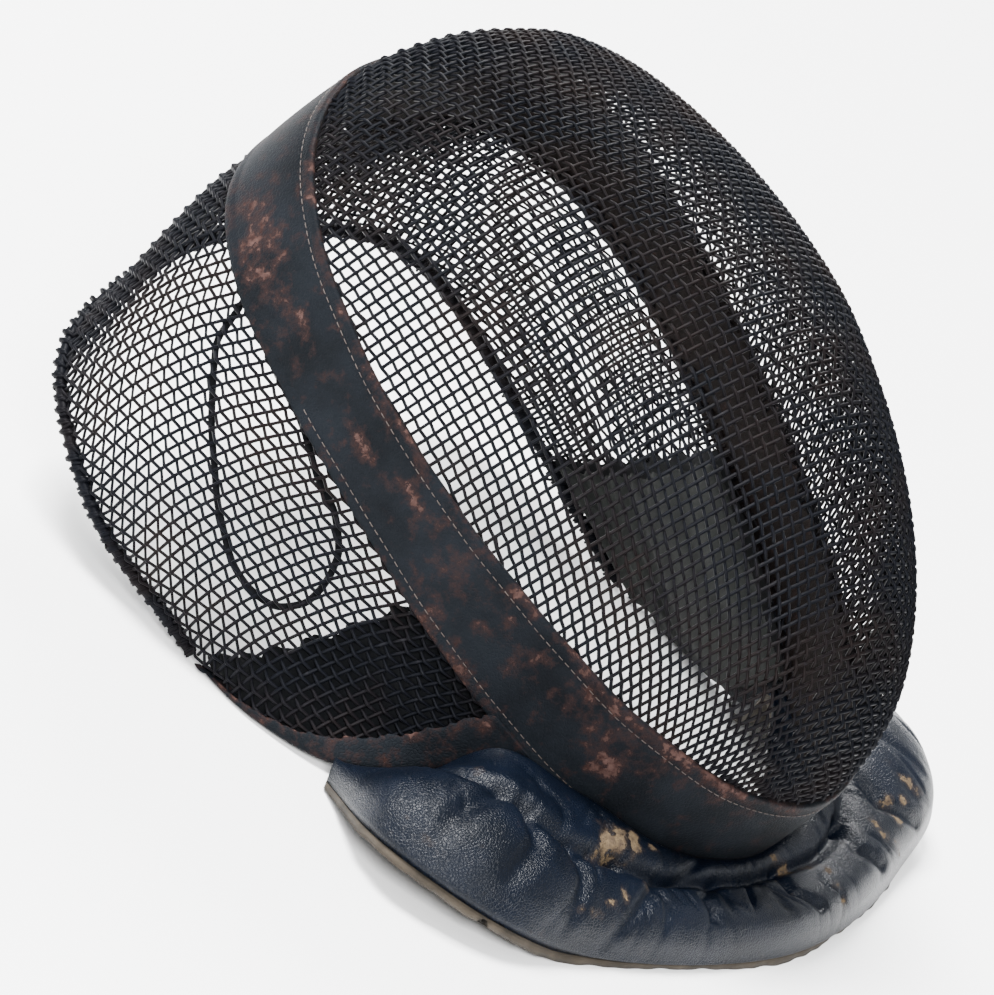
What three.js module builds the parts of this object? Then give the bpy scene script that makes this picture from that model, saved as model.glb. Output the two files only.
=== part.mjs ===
// A fencing mask: a woven wire face and crown, a leather band over their seam, a rolled rear edge, leather
// bindings and felt pads in its lower corners, a padded leather bib with a canvas lining, and a cord loop.
// It lies as it is put down: face up, on the rim of the bib and the two lower corners. Millimetres, +Z up.
import * as THREE from "three";

// The mask's own frame: X to the wearer's left, Y to the rear, Z to the crown, origin between the ears.
// The band's front and rear edges, by the angle from the crown: distance from the Y axis, and place along it.
const BAND_STATIONS = [
  { angle: 0, frontRadius: 112.6, frontY: -43.7, rearRadius: 111.8, rearY: -4.3 },
  { angle: 15, frontRadius: 116.8, frontY: -41.7, rearRadius: 117.7, rearY: -2.9 },
  { angle: 30, frontRadius: 124.2, frontY: -36.3, rearRadius: 128.6, rearY: 0.8 },
  { angle: 45, frontRadius: 125.7, frontY: -29.0, rearRadius: 132.7, rearY: 5.7 },
  { angle: 60, frontRadius: 119.7, frontY: -21.5, rearRadius: 126.0, rearY: 10.8 },
  { angle: 75, frontRadius: 111.8, frontY: -15.3, rearRadius: 115.3, rearY: 15.2 },
  { angle: 90, frontRadius: 106.7, frontY: -10.7, rearRadius: 108.6, rearY: 19.2 },
  { angle: 105, frontRadius: 105.3, frontY: -7.4, rearRadius: 108.0, rearY: 23.1 },
  { angle: 120, frontRadius: 107.8, frontY: -4.7, rearRadius: 112.4, rearY: 27.6 },
  { angle: 135, frontRadius: 115.8, frontY: -2.0, rearRadius: 120.8, rearY: 32.6 },
  { angle: 150, frontRadius: 129.3, frontY: 0.5, rearRadius: 132.0, rearY: 37.5 },
  { angle: 165, frontRadius: 143.0, frontY: 2.4, rearRadius: 142.0, rearY: 41.2 },
  { angle: 180, frontRadius: 148.7, frontY: 3.1, rearRadius: 146.2, rearY: 42.6 },
];

// The rear edge of the crown and the left side, from the middle of the crown down to the lower corner.
const REAR_EDGE = [
  { x: 0, y: 54.4, z: 116.4 },
  { x: 62.3, y: 55.6, z: 108.5 },
  { x: 110, y: 74.7, z: 89.1 },
  { x: 125, y: 87.1, z: 39.5 },
  { x: 120.6, y: 88.2, z: -8 },
  { x: 121, y: 86.2, z: -24.3 },
];

// The lower edge of the left side, from the band back to the lower corner.
const LOWER_EDGE = [
  { x: 82.6, y: 33.4, z: -87.8 },
  { x: 95.5, y: 55.9, z: -77.8 },
  { x: 113.9, y: 69.7, z: -65.3 },
  { x: 121.6, y: 79.5, z: -45 },
  { x: 121, y: 86.2, z: -24.3 },
];

// The outer rim of the bib, from the middle of the chin to its left end.
const BIB_RIM = [
  { x: 0, y: 41.1, z: -179.5 },
  { x: 47, y: 42.7, z: -174.1 },
  { x: 93, y: 44.1, z: -160.7 },
  { x: 130, y: 39.8, z: -142.4 },
  { x: 145, y: 47.4, z: -106.7 },
  { x: 121, y: 67.5, z: -74 },
];

// The seam of the bib, from the middle of the chin along the band and on along the lower edge of the left side.
const BIB_SEAM = [
  { x: 0, y: 44.5, z: -148 },
  { x: 37.3, y: 43.2, z: -139.6 },
  { x: 67.5, y: 39.5, z: -116.8 },
  { x: 85.5, y: 37.5, z: -95 },
  { x: 98.5, y: 58.5, z: -86 },
  { x: 114.5, y: 71.5, z: -71.5 },
];

// The face from its nose (depth share 1) to the band (0): (1 - radius^swell)^edge, by the side it faces.
const FACE_DEPTH = 92;
const FACE_AXIS_Z = -21.3;
const FACE_SWELL = { crown: 1.6, side: 2.5, chin: 1.86 };
const FACE_EDGE = { crown: 0.41, side: 1.28, chin: 0.57 };
const FACE_SPREAD = 0.7;

// How far the crown and the sides bow out between the band and the rear edge.
const BACK_BOW = [
  { share: 0, bow: 3 },
  { share: 0.25, bow: 4 },
  { share: 0.5, bow: 8 },
  { share: 0.75, bow: 5 },
  { share: 1, bow: 0 },
];

const CLEARANCE = 0.35;
const UNDER_BAND = 1;
const MESH_WALL = 0.9;
const BAND_WALL = 2.4;
const BAND_CROWN = 0.5;
const BAND_STEPS = 56;
const SEAM_UNDER_BAND = { face: 0.46, back: 0.54 };
const SIDES_MEET_BAND_AT = 139.5;

const FACE_CELLS = 8;
const FACE_NET_RADIUS = 0.9;
const BACK_CELLS = { along: 14, across: 3 };
const BACK_BAND_SHARE = 0.14;
const BACK_EDGE_SHARE = 0.05;
const BACK_END_SHARE = 0.035;
const BAR_SHARE = 0.13;
const GAP_PARTS = { face: 2, back: 1 };

const RIM = { width: 5.2, wall: 3.2, end: 0.96, steps: 44, sides: 6 };
const BINDING = { outerLeg: 6, innerLeg: 3, wall: 1.6, fold: 1.8, slack: 1.4, from: 0.15, to: 0.8 };
const PAD_GAP = 1.0;
const PAD_TOP = { right: { band: -47, rear: -20 }, left: { band: -10, rear: 34 } };
const PAD_THICKNESS = 9;
const PAD_SPAN = { from: 0.08, to: 0.9, bottom: 0.93 };
const PAD_OFF_BAND = 2.4;
const PAD_ENDS = 0.55;

// The bib across its width: how far the leather stands over the lining's side, from seam to rim.
const BIB_PROFILE = [
  { share: 0, height: 3 },
  { share: 0.12, height: 9.5 },
  { share: 0.3, height: 13.5 },
  { share: 0.47, height: 8 },
  { share: 0.62, height: 13.5 },
  { share: 0.82, height: 13.5 },
  { share: 0.95, height: 7 },
  { share: 1, height: 2.5 },
];
const BIB_STEPS = 40;
const BIB_ENDS = { thinner: 0.55, over: 0.25 };
const BIB_BACK = 3;
const LINING_GAP = 0.6;
const LINING_WALL = 1.6;
const LINING_OVERHANG = 2.2;

const CORD_DIAMETER = 2.3;
const CORD_STEPS = 36;
const CORD_SIDES = 8;
// The route of the cord loop, tied at both ends to the wire beside the right temple.
const CORD_ROUTE = [
  [-104.5, 13.5, 60.5], [-106, 19.5, 58.5], [-108, 26.5, 56], [-110.5, 31, 50], [-113, 36.5, 41.5],
  [-115, 41.5, 33.5], [-116.5, 47.5, 22.5], [-118, 51.5, 14.5], [-118.5, 55, 6], [-119, 58, -3],
  [-118, 59, -11], [-115.5, 58.5, -17.5], [-113, 56.5, -22], [-109, 51.5, -25], [-107, 47.5, -25],
  [-105, 42.5, -23.5], [-103.5, 38, -21], [-102.5, 34, -17.5], [-102.5, 28.5, -8], [-103.5, 26, 3.5],
  [-104, 20.5, 18], [-105.5, 18, 28], [-106, 16, 41.5],
];

// How far it leans back when it lies on the bib and the lower corners.
const LEAN = THREE.MathUtils.degToRad(73.8);

const COLOURS = {
  wire: 0x1b1e22,
  leather: 0x1d242f,
  bibLeather: 0x1b2533,
  canvas: 0x7d7464,
  felt: 0x3b3d3a,
  cord: 0x17171a,
};

const vector = ({ x, y, z }) => new THREE.Vector3(x, y, z);
const mirrored = (p) => new THREE.Vector3(-p.x, p.y, p.z);
const lerp = THREE.MathUtils.lerp;

// A smooth curve through a half's rows and their mirror image, sampled by length from -1 (right) to 1 (left).
function symmetricCurve(rows) {
  const left = rows.map(vector);
  const points = [...left.slice(1).reverse().map(mirrored), ...left];
  const curve = new THREE.CatmullRomCurve3(points, false, "catmullrom", 0.5);
  return (side) => curve.getPointAt(THREE.MathUtils.clamp((side + 1) / 2, 0, 1));
}

// A closed loop through stations given by angle, sampled by that angle in degrees.
function bandLoop(radius, y) {
  const point = (row, side) => {
    const a = THREE.MathUtils.degToRad(row.angle);
    return new THREE.Vector3(side * row[radius] * Math.sin(a), row[y], row[radius] * Math.cos(a));
  };
  const left = BAND_STATIONS.map((row) => point(row, 1));
  const right = BAND_STATIONS.slice(1, -1).reverse().map((row) => point(row, -1));
  const curve = new THREE.CatmullRomCurve3([...left, ...right], true, "catmullrom", 0.5);
  return (angle) => curve.getPoint((((angle / 360) % 1) + 1) % 1);
}

// A value read from rows of { share, ... } by straight lines.
function fromRows(rows, column, share) {
  const next = rows.findIndex((row) => row.share >= share);
  if (next <= 0) return rows[0][column];
  const [a, b] = [rows[next - 1], rows[next]];
  return lerp(a[column], b[column], (share - a.share) / (b.share - a.share));
}

const bandFront = bandLoop("frontRadius", "frontY");
const bandRear = bandLoop("rearRadius", "rearY");
const rearEdge = symmetricCurve(REAR_EDGE);
const bibRim = symmetricCurve(BIB_RIM);
const bibSeam = symmetricCurve(BIB_SEAM);
const lowerEdgeCurve = new THREE.CatmullRomCurve3(LOWER_EDGE.map(vector), false, "catmullrom", 0.5);

// The unit normal of a surface at (u, v), on the side away from a point inside the mask.
function normalAt(surface, u, v, step = 0.004) {
  const across = surface(u + step, v).sub(surface(u - step, v));
  const along = surface(u, v + step).sub(surface(u, v - step));
  const normal = across.cross(along).normalize();
  const inside = new THREE.Vector3(0, 20, -20);
  return normal.dot(surface(u, v).sub(inside)) < 0 ? normal.negate() : normal;
}

// The outer surface of the band: u from its front edge (0) to its rear edge (1), v the angle as a share of 360.
const bandSkin = (u, v) => bandFront(360 * v).lerp(bandRear(360 * v), u);

// The face outside the wire: r from the nose (0) to the band (1), v the angle as a share of 360.
function faceSkin(r, v) {
  const edge = bandFront(360 * v);
  const radius = Math.max(Math.min(Math.abs(r), 1), 1e-6);
  const cosine = (edge.z - FACE_AXIS_Z) / Math.hypot(edge.x, edge.z - FACE_AXIS_Z);
  const bySide = ({ crown, side, chin }) =>
    side + ((crown - chin) / 2) * cosine + ((crown + chin) / 2 - side) * cosine ** 2;
  const depth = (1 - radius ** bySide(FACE_SWELL)) ** bySide(FACE_EDGE);
  return new THREE.Vector3(
    edge.x * radius,
    lerp(edge.y, -FACE_DEPTH, depth),
    lerp(FACE_AXIS_Z, edge.z, radius),
  );
}

// The crown and sides outside the wire: u from the band (0) to the rear edge (1), v from -1 (right) to 1 (left).
function backSkin(u, v) {
  const share = Math.min(Math.abs(v), 1);
  const side = v < 0 ? -1 : 1;
  const start = bandRear(share * SIDES_MEET_BAND_AT);
  const end = rearEdge(share);
  const lower = lowerEdgeCurve.getPointAt(THREE.MathUtils.clamp(u, 0, 1));
  const chord = lowerEdgeCurve.getPointAt(0).lerp(lowerEdgeCurve.getPointAt(1), u);
  const bow = fromRows(BACK_BOW, "bow", share) * 4 * u * (1 - u);
  const out = new THREE.Vector3(start.x, 0, start.z).normalize();
  const point = start.lerp(end, u).addScaledVector(lower.sub(chord), share ** 2).addScaledVector(out, bow);
  point.x *= side;
  return point;
}

// Turns a mesh's faces outwards when they point in.
function facingOut(positions, index) {
  const at = (i) => new THREE.Vector3().fromArray(positions, 3 * i);
  let volume = 0;
  for (let i = 0; i < index.length; i += 3)
    volume += at(index[i]).dot(at(index[i + 1]).cross(at(index[i + 2])));
  if (volume < 0)
    for (let i = 0; i < index.length; i += 3) [index[i + 1], index[i + 2]] = [index[i + 2], index[i + 1]];
  const geometry = new THREE.BufferGeometry();
  geometry.setAttribute("position", new THREE.Float32BufferAttribute(positions, 3));
  geometry.setIndex(index);
  geometry.computeVertexNormals();
  return geometry;
}

// Two triangles on a four-sided patch, split along its shorter diagonal.
function patch(points, index, a, b, c, d) {
  if (points[a].distanceTo(points[c]) <= points[b].distanceTo(points[d])) index.push(a, b, c, a, c, d);
  else index.push(a, b, d, b, c, d);
}

// A closed solid through rings of points, capped at its ends unless the last ring joins the first.
function loft(rings, closed = false) {
  const size = rings[0].length;
  const points = rings.flat();
  const index = [];
  const last = closed ? rings.length : rings.length - 1;
  for (let i = 0; i < last; i++)
    for (let j = 0; j < size; j++) {
      const k = (j + 1) % size;
      const next = (i + 1) % rings.length;
      patch(points, index, i * size + j, i * size + k, next * size + k, next * size + j);
    }
  if (!closed) {
    const faces = capFaces(rings[0]);
    const offset = (rings.length - 1) * size;
    for (const [a, b, c] of faces) index.push(a, c, b);
    for (const [a, b, c] of capFaces(rings.at(-1))) index.push(offset + a, offset + b, offset + c);
  }
  return facingOut(points.flatMap((p) => p.toArray()), index);
}

// The triangles that close a flat ring, wound as the ring runs.
function capFaces(ring) {
  const normal = new THREE.Vector3();
  ring.forEach((p, i) => normal.add(p.clone().cross(ring[(i + 1) % ring.length])));
  const ahead = ring[1].clone().sub(ring[0]).normalize();
  const aside = normal.normalize().clone().cross(ahead);
  const flat = ring.map((p) => new THREE.Vector2(p.dot(ahead), p.dot(aside)));
  return THREE.ShapeUtils.triangulateShape(flat, []);
}

// A net of flat bars: a wall on a grid of u and v, with the squares left out where solid(i, j) is false.
function netOf(us, vs, pointAt, outAt, solid) {
  const points = [];
  for (const half of [0.5, -0.5])
    for (const v of vs)
      for (const u of us) points.push(pointAt(u, v).addScaledVector(outAt(u, v), half * MESH_WALL));
  const layer = us.length * vs.length;
  const at = (i, j) => j * us.length + i;
  const there = (i, j) => i >= 0 && j >= 0 && i < us.length - 1 && j < vs.length - 1 && solid(i, j);
  const index = [];
  const side = (a, b) => patch(points, index, b, a, a + layer, b + layer);
  for (let i = 0; i < us.length - 1; i++)
    for (let j = 0; j < vs.length - 1; j++) {
      if (!there(i, j)) continue;
      const [a, b, c, d] = [at(i, j), at(i + 1, j), at(i + 1, j + 1), at(i, j + 1)];
      patch(points, index, a, b, c, d);
      patch(points, index, d + layer, c + layer, b + layer, a + layer);
      if (!there(i, j - 1)) side(a, b);
      if (!there(i + 1, j)) side(b, c);
      if (!there(i, j + 1)) side(c, d);
      if (!there(i - 1, j)) side(d, a);
    }
  const used = [...new Set(index)];
  const rank = new Map(used.map((old, i) => [old, i]));
  return facingOut(used.flatMap((i) => points[i].toArray()), index.map((i) => rank.get(i)));
}

// The grid lines between two ends, with a line of solid wall outside each: in a cell a bar, the gap and a bar.
function netLines(ends, cells, gapParts) {
  const [from, to] = ends;
  const size = (to - from) / cells;
  const lines = [];
  for (let i = 0; i < cells; i++) {
    lines.push(from + i * size);
    for (let k = 0; k <= gapParts; k++) {
      const share = lerp(BAR_SHARE, 1 - BAR_SHARE, k / gapParts);
      lines.push(from + (i + share) * size);
    }
  }
  return [...lines, to];
}

// Whether a grid square is part of a gap, by its place among the lines of cells with that many gap parts.
const inGap = (line, gapParts) => {
  const part = (line - 1) % (gapParts + 2);
  return part > 0 && part <= gapParts;
};

function faceMesh() {
  const lines = [-1, ...netLines([-FACE_NET_RADIUS, FACE_NET_RADIUS], FACE_CELLS, GAP_PARTS.face), 1];
  const polar = (a, b) => {
    const [x, z] = [a * Math.sqrt(1 - b ** 2 / 2), b * Math.sqrt(1 - a ** 2 / 2)];
    return [Math.hypot(x, z), Math.atan2(x, z) / (2 * Math.PI)];
  };
  const skin = (reach, v) => {
    const share = reach / FACE_NET_RADIUS;
    if (share > 1) return bandSkin((SEAM_UNDER_BAND.face * (reach - FACE_NET_RADIUS)) / (1 - FACE_NET_RADIUS), v);
    return faceSkin(lerp(share, Math.sin((share * Math.PI) / 2), FACE_SPREAD), v);
  };
  const out = (reach, v) => {
    if (reach < 0.02) return new THREE.Vector3(0, -1, 0);
    return normalAt(skin, THREE.MathUtils.clamp(reach, 0.03, 0.99), v);
  };
  const under = (reach) => THREE.MathUtils.smoothstep(reach, FACE_NET_RADIUS * 0.86, FACE_NET_RADIUS);
  const place = (a, b) => {
    const [reach, v] = polar(a, b);
    const depth = MESH_WALL / 2 + under(reach) * (BAND_WALL + UNDER_BAND);
    return skin(reach, v).addScaledVector(out(reach, v), -depth);
  };
  const outwards = (a, b) => out(...polar(a, b));
  const count = lines.length - 1;
  const edge = (i) => i === 0 || i === count - 1;
  const gap = (i, j) => inGap(i, GAP_PARTS.face) && inGap(j, GAP_PARTS.face);
  return netOf(lines, lines, place, outwards, (i, j) => edge(i) || edge(j) || !gap(i, j));
}

// How far the back mesh reaches, as a share of the way from the band, before it meets the rolled edge.
const rimLine = Array.from({ length: 161 }, (_, i) => rearEdge(lerp(-RIM.end, RIM.end, i / 160)));
const reaches = new Map();
function reachToRim(v) {
  const key = v.toFixed(4);
  if (reaches.has(key)) return reaches.get(key);
  const need = RIM.width / 2 + CLEARANCE;
  const touches = (u, near) => rimLine.some((rim) => rim.distanceTo(backSkin(u, near)) < need);
  let reach = 0.99;
  while ([-0.03, 0, 0.03].some((aside) => touches(reach, v + aside))) reach -= 0.004;
  reaches.set(key, reach);
  return reach;
}

function backMesh() {
  const us = [0, ...netLines([BACK_BAND_SHARE, 1 - BACK_EDGE_SHARE], BACK_CELLS.across, GAP_PARTS.back), 1];
  const vs = [-1, ...netLines([-1 + BACK_END_SHARE, 1 - BACK_END_SHARE], BACK_CELLS.along, GAP_PARTS.back), 1];
  const skin = (u, v) => {
    if (u < BACK_BAND_SHARE) {
      const angle = (v * SIDES_MEET_BAND_AT) / 360;
      return bandSkin(lerp(SEAM_UNDER_BAND.back, 1, u / BACK_BAND_SHARE), angle);
    }
    return backSkin((reachToRim(v) * (u - BACK_BAND_SHARE)) / (1 - BACK_BAND_SHARE), v);
  };
  const clamp = THREE.MathUtils.clamp;
  const out = (u, v) => normalAt(skin, clamp(u, 0.01, 0.99), clamp(v, -0.99, 0.99));
  const place = (u, v) => {
    const under = 1 - THREE.MathUtils.smoothstep(u, BACK_BAND_SHARE, BACK_BAND_SHARE * 1.9);
    return skin(u, v).addScaledVector(out(u, v), -MESH_WALL / 2 - under * (BAND_WALL + UNDER_BAND));
  };
  const edge = (i, lines) => i === 0 || i === lines.length - 2;
  const gap = (i, j) => inGap(i, GAP_PARTS.back) && inGap(j, GAP_PARTS.back);
  const solid = (i, j) => edge(i, us) || edge(j, vs) || !gap(i, j);
  return netOf(us, vs, place, out, solid);
}

function sideBand() {
  const outline = [[0, 0], [0.5, BAND_CROWN], [1, 0], [1, -BAND_WALL], [0.5, -BAND_WALL], [0, -BAND_WALL]];
  const rings = [];
  for (let i = 0; i < BAND_STEPS; i++) {
    const v = i / BAND_STEPS;
    const out = normalAt(bandSkin, 0.5, v);
    rings.push(outline.map(([u, height]) => bandSkin(u, v).addScaledVector(out, height)));
  }
  return loft(rings, true);
}

// The rolled edge, an oval section that lies flat against the back mesh.
function rearRim() {
  const rings = Array.from({ length: RIM.steps + 1 }, (_, i) => {
    const v = lerp(-RIM.end, RIM.end, i / RIM.steps);
    const ahead = rearEdge(v + 0.01).sub(rearEdge(v - 0.01)).normalize();
    const out = normalAt(backSkin, 0.97, v);
    const aside = out.clone().cross(ahead).normalize();
    return Array.from({ length: RIM.sides }, (_, k) => {
      const angle = (2 * Math.PI * k) / RIM.sides;
      return rearEdge(v)
        .addScaledVector(aside, (RIM.width / 2) * Math.cos(angle))
        .addScaledVector(out, (RIM.wall / 2) * Math.sin(angle));
    });
  });
  return loft(rings);
}

// The leather folded round the lower edge of one side, a long U that the mesh's edge stands in.
function lowerBinding(side) {
  const { outerLeg, innerLeg, wall, fold, slack } = BINDING;
  const slot = MESH_WALL / 2 + slack;
  const outline = [
    [outerLeg, slot], [-slack, slot], [-slack, -slot], [innerLeg, -slot],
    [innerLeg, -slot - wall], [-slack, -slot - wall], [-slack - fold, 0],
    [-slack, slot + wall], [outerLeg, slot + wall],
  ];
  const rings = [];
  const steps = 14;
  for (let i = 0; i <= steps; i++) {
    const u = lerp(BINDING.from, BINDING.to, i / steps);
    const out = normalAt(backSkin, u, side * 0.97);
    const edge = backSkin(u, side).addScaledVector(out, -MESH_WALL / 2);
    const above = backSkin(u, side * 0.95).addScaledVector(out, -MESH_WALL / 2).sub(edge).normalize();
    above.addScaledVector(out, -above.dot(out)).normalize();
    rings.push(outline.map(([up, height]) =>
      edge.clone().addScaledVector(above, up).addScaledVector(out, height)));
  }
  return loft(rings);
}

// A felt pad inside one lower corner, from its top edge down to the fold of the binding.
function innerPad(side, top) {
  const rings = [];
  const [steps, rows] = [10, 6];
  for (let i = 0; i <= steps; i++) {
    const share = i / steps;
    const u = lerp(PAD_SPAN.from, PAD_SPAN.to, share);
    const topZ = lerp(top.band, top.rear, share);
    let high = 0.4;
    while (high < PAD_SPAN.bottom && backSkin(u, side * high).z > topZ) high += 0.005;
    const line = (depth, from, to) => Array.from({ length: rows + 1 }, (_, k) => {
      const v = side * lerp(high, PAD_SPAN.bottom, lerp(from, to, k / rows));
      return backSkin(u, v).addScaledVector(normalAt(backSkin, u, v), -depth(k / rows));
    });
    const back = MESH_WALL + PAD_GAP;
    const outer = line(() => back + PAD_OFF_BAND * (1 - Math.min(share * 4, 1)), 0, 1);
    const round = (k) => Math.sqrt(Math.sin(Math.PI * lerp(0.12, 0.88, k)));
    const thick = PAD_THICKNESS * lerp(PAD_ENDS, 1, Math.sin(Math.PI * lerp(0.1, 0.9, share)));
    const inner = line((k) => back + PAD_OFF_BAND + thick * round(k), 0.03, 0.97);
    rings.push([...outer, ...inner.reverse()]);
  }
  return loft(rings);
}

// The bib's frame at a place along it, from -1 (right end) to 1 (left end).
function bibFrame(v) {
  const [seam, rim] = [bibSeam(v), bibRim(v)];
  const across = rim.clone().sub(seam);
  const along = bibSeam(Math.min(v + 0.01, 1)).sub(bibSeam(Math.max(v - 0.01, -1)));
  along.add(bibRim(Math.min(v + 0.01, 1)).sub(bibRim(Math.max(v - 0.01, -1))));
  return { seam, across, out: across.clone().cross(along).normalize() };
}

// Rings along the bib: front and back give the outline's heights by share of the width. Where it would sink into
// the floor, its front and back are pressed flat at their own heights over it.
function bibRings(shares, front, back) {
  return Array.from({ length: BIB_STEPS + 1 }, (_, i) => {
    const v = (2 * i) / BIB_STEPS - 1;
    const { seam, across, out } = bibFrame(v);
    const at = (share, height) => seam.clone().addScaledVector(across, share).addScaledVector(out, height);
    const overhang = (share) => (share >= 1 ? 1 + (share - 1) / across.length() : share);
    const top = shares.map((share) => pressed(at(overhang(share), front.height(share, v)), front.overFloor));
    const bottom = [...shares].reverse().map((share) => pressed(at(overhang(share), back.height), back.overFloor));
    return [...top, ...bottom];
  });
}

// Up, and the floor's height along it, in the mask's own frame: the floor touches the lowest of the hard pieces.
const up = new THREE.Vector3(0, -Math.sin(LEAN), Math.cos(LEAN));
const lowerBindings = { right: lowerBinding(-1), left: lowerBinding(1) };
const rolledEdge = rearRim();
const floor = Math.min(...[lowerBindings.left, lowerBindings.right, rolledEdge].map((shape) => {
  const place = shape.getAttribute("position");
  const corner = (_, i) => new THREE.Vector3().fromBufferAttribute(place, i);
  const heights = Array.from({ length: place.count }, corner).map((point) => point.dot(up));
  return Math.min(...heights);
}));

function pressed(point, overFloor) {
  return point.addScaledVector(up, Math.max(overFloor - (point.dot(up) - floor), 0));
}

function bib() {
  const narrow = (v) => THREE.MathUtils.smoothstep(1 - Math.abs(v), 0, BIB_ENDS.over);
  const height = (share, v) =>
    fromRows(BIB_PROFILE, "height", share) * lerp(BIB_ENDS.thinner, 1, narrow(v)) - BIB_BACK;
  const overFloor = LINING_WALL + LINING_GAP;
  const shares = BIB_PROFILE.map((row) => row.share);
  return loft(bibRings(shares, { height, overFloor: overFloor + 1 }, { height: -BIB_BACK, overFloor }));
}

function bibLining() {
  const front = -BIB_BACK - LINING_GAP;
  const shares = [0.04, 0.47, 0.62, 0.82, 0.95, 1 + LINING_OVERHANG];
  const top = { height: () => front, overFloor: LINING_WALL };
  return loft(bibRings(shares, top, { height: front - LINING_WALL, overFloor: 0 }));
}

function hangingLoop() {
  const route = new THREE.CatmullRomCurve3(CORD_ROUTE.map((p) => new THREE.Vector3(...p)), false, "catmullrom", 0.5);
  const section = new THREE.Shape(Array.from({ length: CORD_SIDES }, (_, k) => {
    const angle = (2 * Math.PI * k) / CORD_SIDES;
    return new THREE.Vector2(Math.cos(angle), Math.sin(angle)).multiplyScalar(CORD_DIAMETER / 2);
  }));
  return new THREE.ExtrudeGeometry(section, { steps: CORD_STEPS, extrudePath: route });
}

// Lays a geometry in the frame it rests in, with what lies flat on the floor exactly on it.
function laid(geometry) {
  const resting = geometry.clone().rotateX(-LEAN).translate(0, 0, -floor);
  const place = resting.getAttribute("position");
  for (let i = 0; i < place.count; i++) if (Math.abs(place.getZ(i)) < 1e-3) place.setZ(i, 0);
  return resting;
}

const finish = (color, roughness, metalness = 0) =>
  new THREE.MeshStandardMaterial({ color, roughness, metalness });

const PIECES = [
  { name: "face_mesh", shape: faceMesh(), material: finish(COLOURS.wire, 0.45, 0.6) },
  { name: "back_mesh", shape: backMesh(), material: finish(COLOURS.wire, 0.45, 0.6) },
  { name: "side_band", shape: sideBand(), material: finish(COLOURS.leather, 0.55) },
  { name: "rear_rim", shape: rolledEdge, material: finish(COLOURS.wire, 0.5, 0.4) },
  { name: "lower_binding_right", shape: lowerBindings.right, material: finish(COLOURS.leather, 0.6) },
  { name: "lower_binding_left", shape: lowerBindings.left, material: finish(COLOURS.leather, 0.6) },
  { name: "inner_pad_right", shape: innerPad(-1, PAD_TOP.right), material: finish(COLOURS.felt, 0.95) },
  { name: "inner_pad_left", shape: innerPad(1, PAD_TOP.left), material: finish(COLOURS.felt, 0.95) },
  { name: "bib", shape: bib(), material: finish(COLOURS.bibLeather, 0.35) },
  { name: "bib_lining", shape: bibLining(), material: finish(COLOURS.canvas, 0.9) },
  { name: "hanging_loop", shape: hangingLoop(), material: finish(COLOURS.cord, 0.8) },
];

const group = new THREE.Group();
for (const { name, shape, material } of PIECES) {
  const mesh = new THREE.Mesh(laid(shape), material);
  mesh.name = name;
  group.add(mesh);
}
const box = new THREE.Box3().setFromObject(group);
group.position.y = -(box.min.y + box.max.y) / 2;

export default group;
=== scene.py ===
"""A worn fencing mask that lies face up: a deep face and a crown of black enamelled woven wire, a leather
band over their seam, a rolled rear edge, leather bindings and felt pads in the lower corners, a padded
leather bib with a canvas lining, and a cord loop beside the right temple."""

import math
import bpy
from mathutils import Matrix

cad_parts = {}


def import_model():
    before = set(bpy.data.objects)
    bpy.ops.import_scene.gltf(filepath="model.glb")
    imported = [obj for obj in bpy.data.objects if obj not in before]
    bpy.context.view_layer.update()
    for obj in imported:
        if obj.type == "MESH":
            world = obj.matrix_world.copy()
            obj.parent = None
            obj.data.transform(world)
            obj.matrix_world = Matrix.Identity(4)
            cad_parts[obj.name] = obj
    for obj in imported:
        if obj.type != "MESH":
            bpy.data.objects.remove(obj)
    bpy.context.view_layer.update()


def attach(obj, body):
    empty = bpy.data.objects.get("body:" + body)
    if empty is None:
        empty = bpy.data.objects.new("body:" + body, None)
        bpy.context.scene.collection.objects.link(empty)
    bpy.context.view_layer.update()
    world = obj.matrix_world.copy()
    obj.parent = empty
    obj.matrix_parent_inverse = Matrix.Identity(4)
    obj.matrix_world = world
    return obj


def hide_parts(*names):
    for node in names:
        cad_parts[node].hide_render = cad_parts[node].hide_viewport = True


bl_info = {
    "name": "Fencing Mask",
    "version": (1, 0, 0),
    "blender": (4, 5, 0),
    "location": "View3D > Sidebar > Mask",
    "description": "Builds a worn fencing mask of woven wire, leather, felt and canvas round its frame",
    "category": "Add Mesh",
}

import bpy
import numpy as np
from bpy.props import FloatProperty, FloatVectorProperty, PointerProperty
from mathutils import Matrix, Vector

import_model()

MM = 0.001

# The mask's own frame: X to the wearer's left, Y to the rear, Z to the crown, in millimetres, with its
# origin between the ears. It rests leaning back by LEAN, on the bib's rim and the two lower rear corners.
LEAN = math.radians(73.8)
REST_SHIFT = 16.952
REST_LIFT = 90.9
HEAD_MIDDLE = (0, 20, -20)

# The band's edges by the angle from the crown: angle, front radius, front y, rear radius, rear y.
BAND_STATIONS = [
    (0, 112.6, -43.7, 111.8, -4.3),
    (15, 116.8, -41.7, 117.7, -2.9),
    (30, 124.2, -36.3, 128.6, 0.8),
    (45, 125.7, -29.0, 132.7, 5.7),
    (60, 119.7, -21.5, 126.0, 10.8),
    (75, 111.8, -15.3, 115.3, 15.2),
    (90, 106.7, -10.7, 108.6, 19.2),
    (105, 105.3, -7.4, 108.0, 23.1),
    (120, 107.8, -4.7, 112.4, 27.6),
    (135, 115.8, -2.0, 120.8, 32.6),
    (150, 129.3, 0.5, 132.0, 37.5),
    (165, 143.0, 2.4, 142.0, 41.2),
    (180, 148.7, 3.1, 146.2, 42.6),
]
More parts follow.
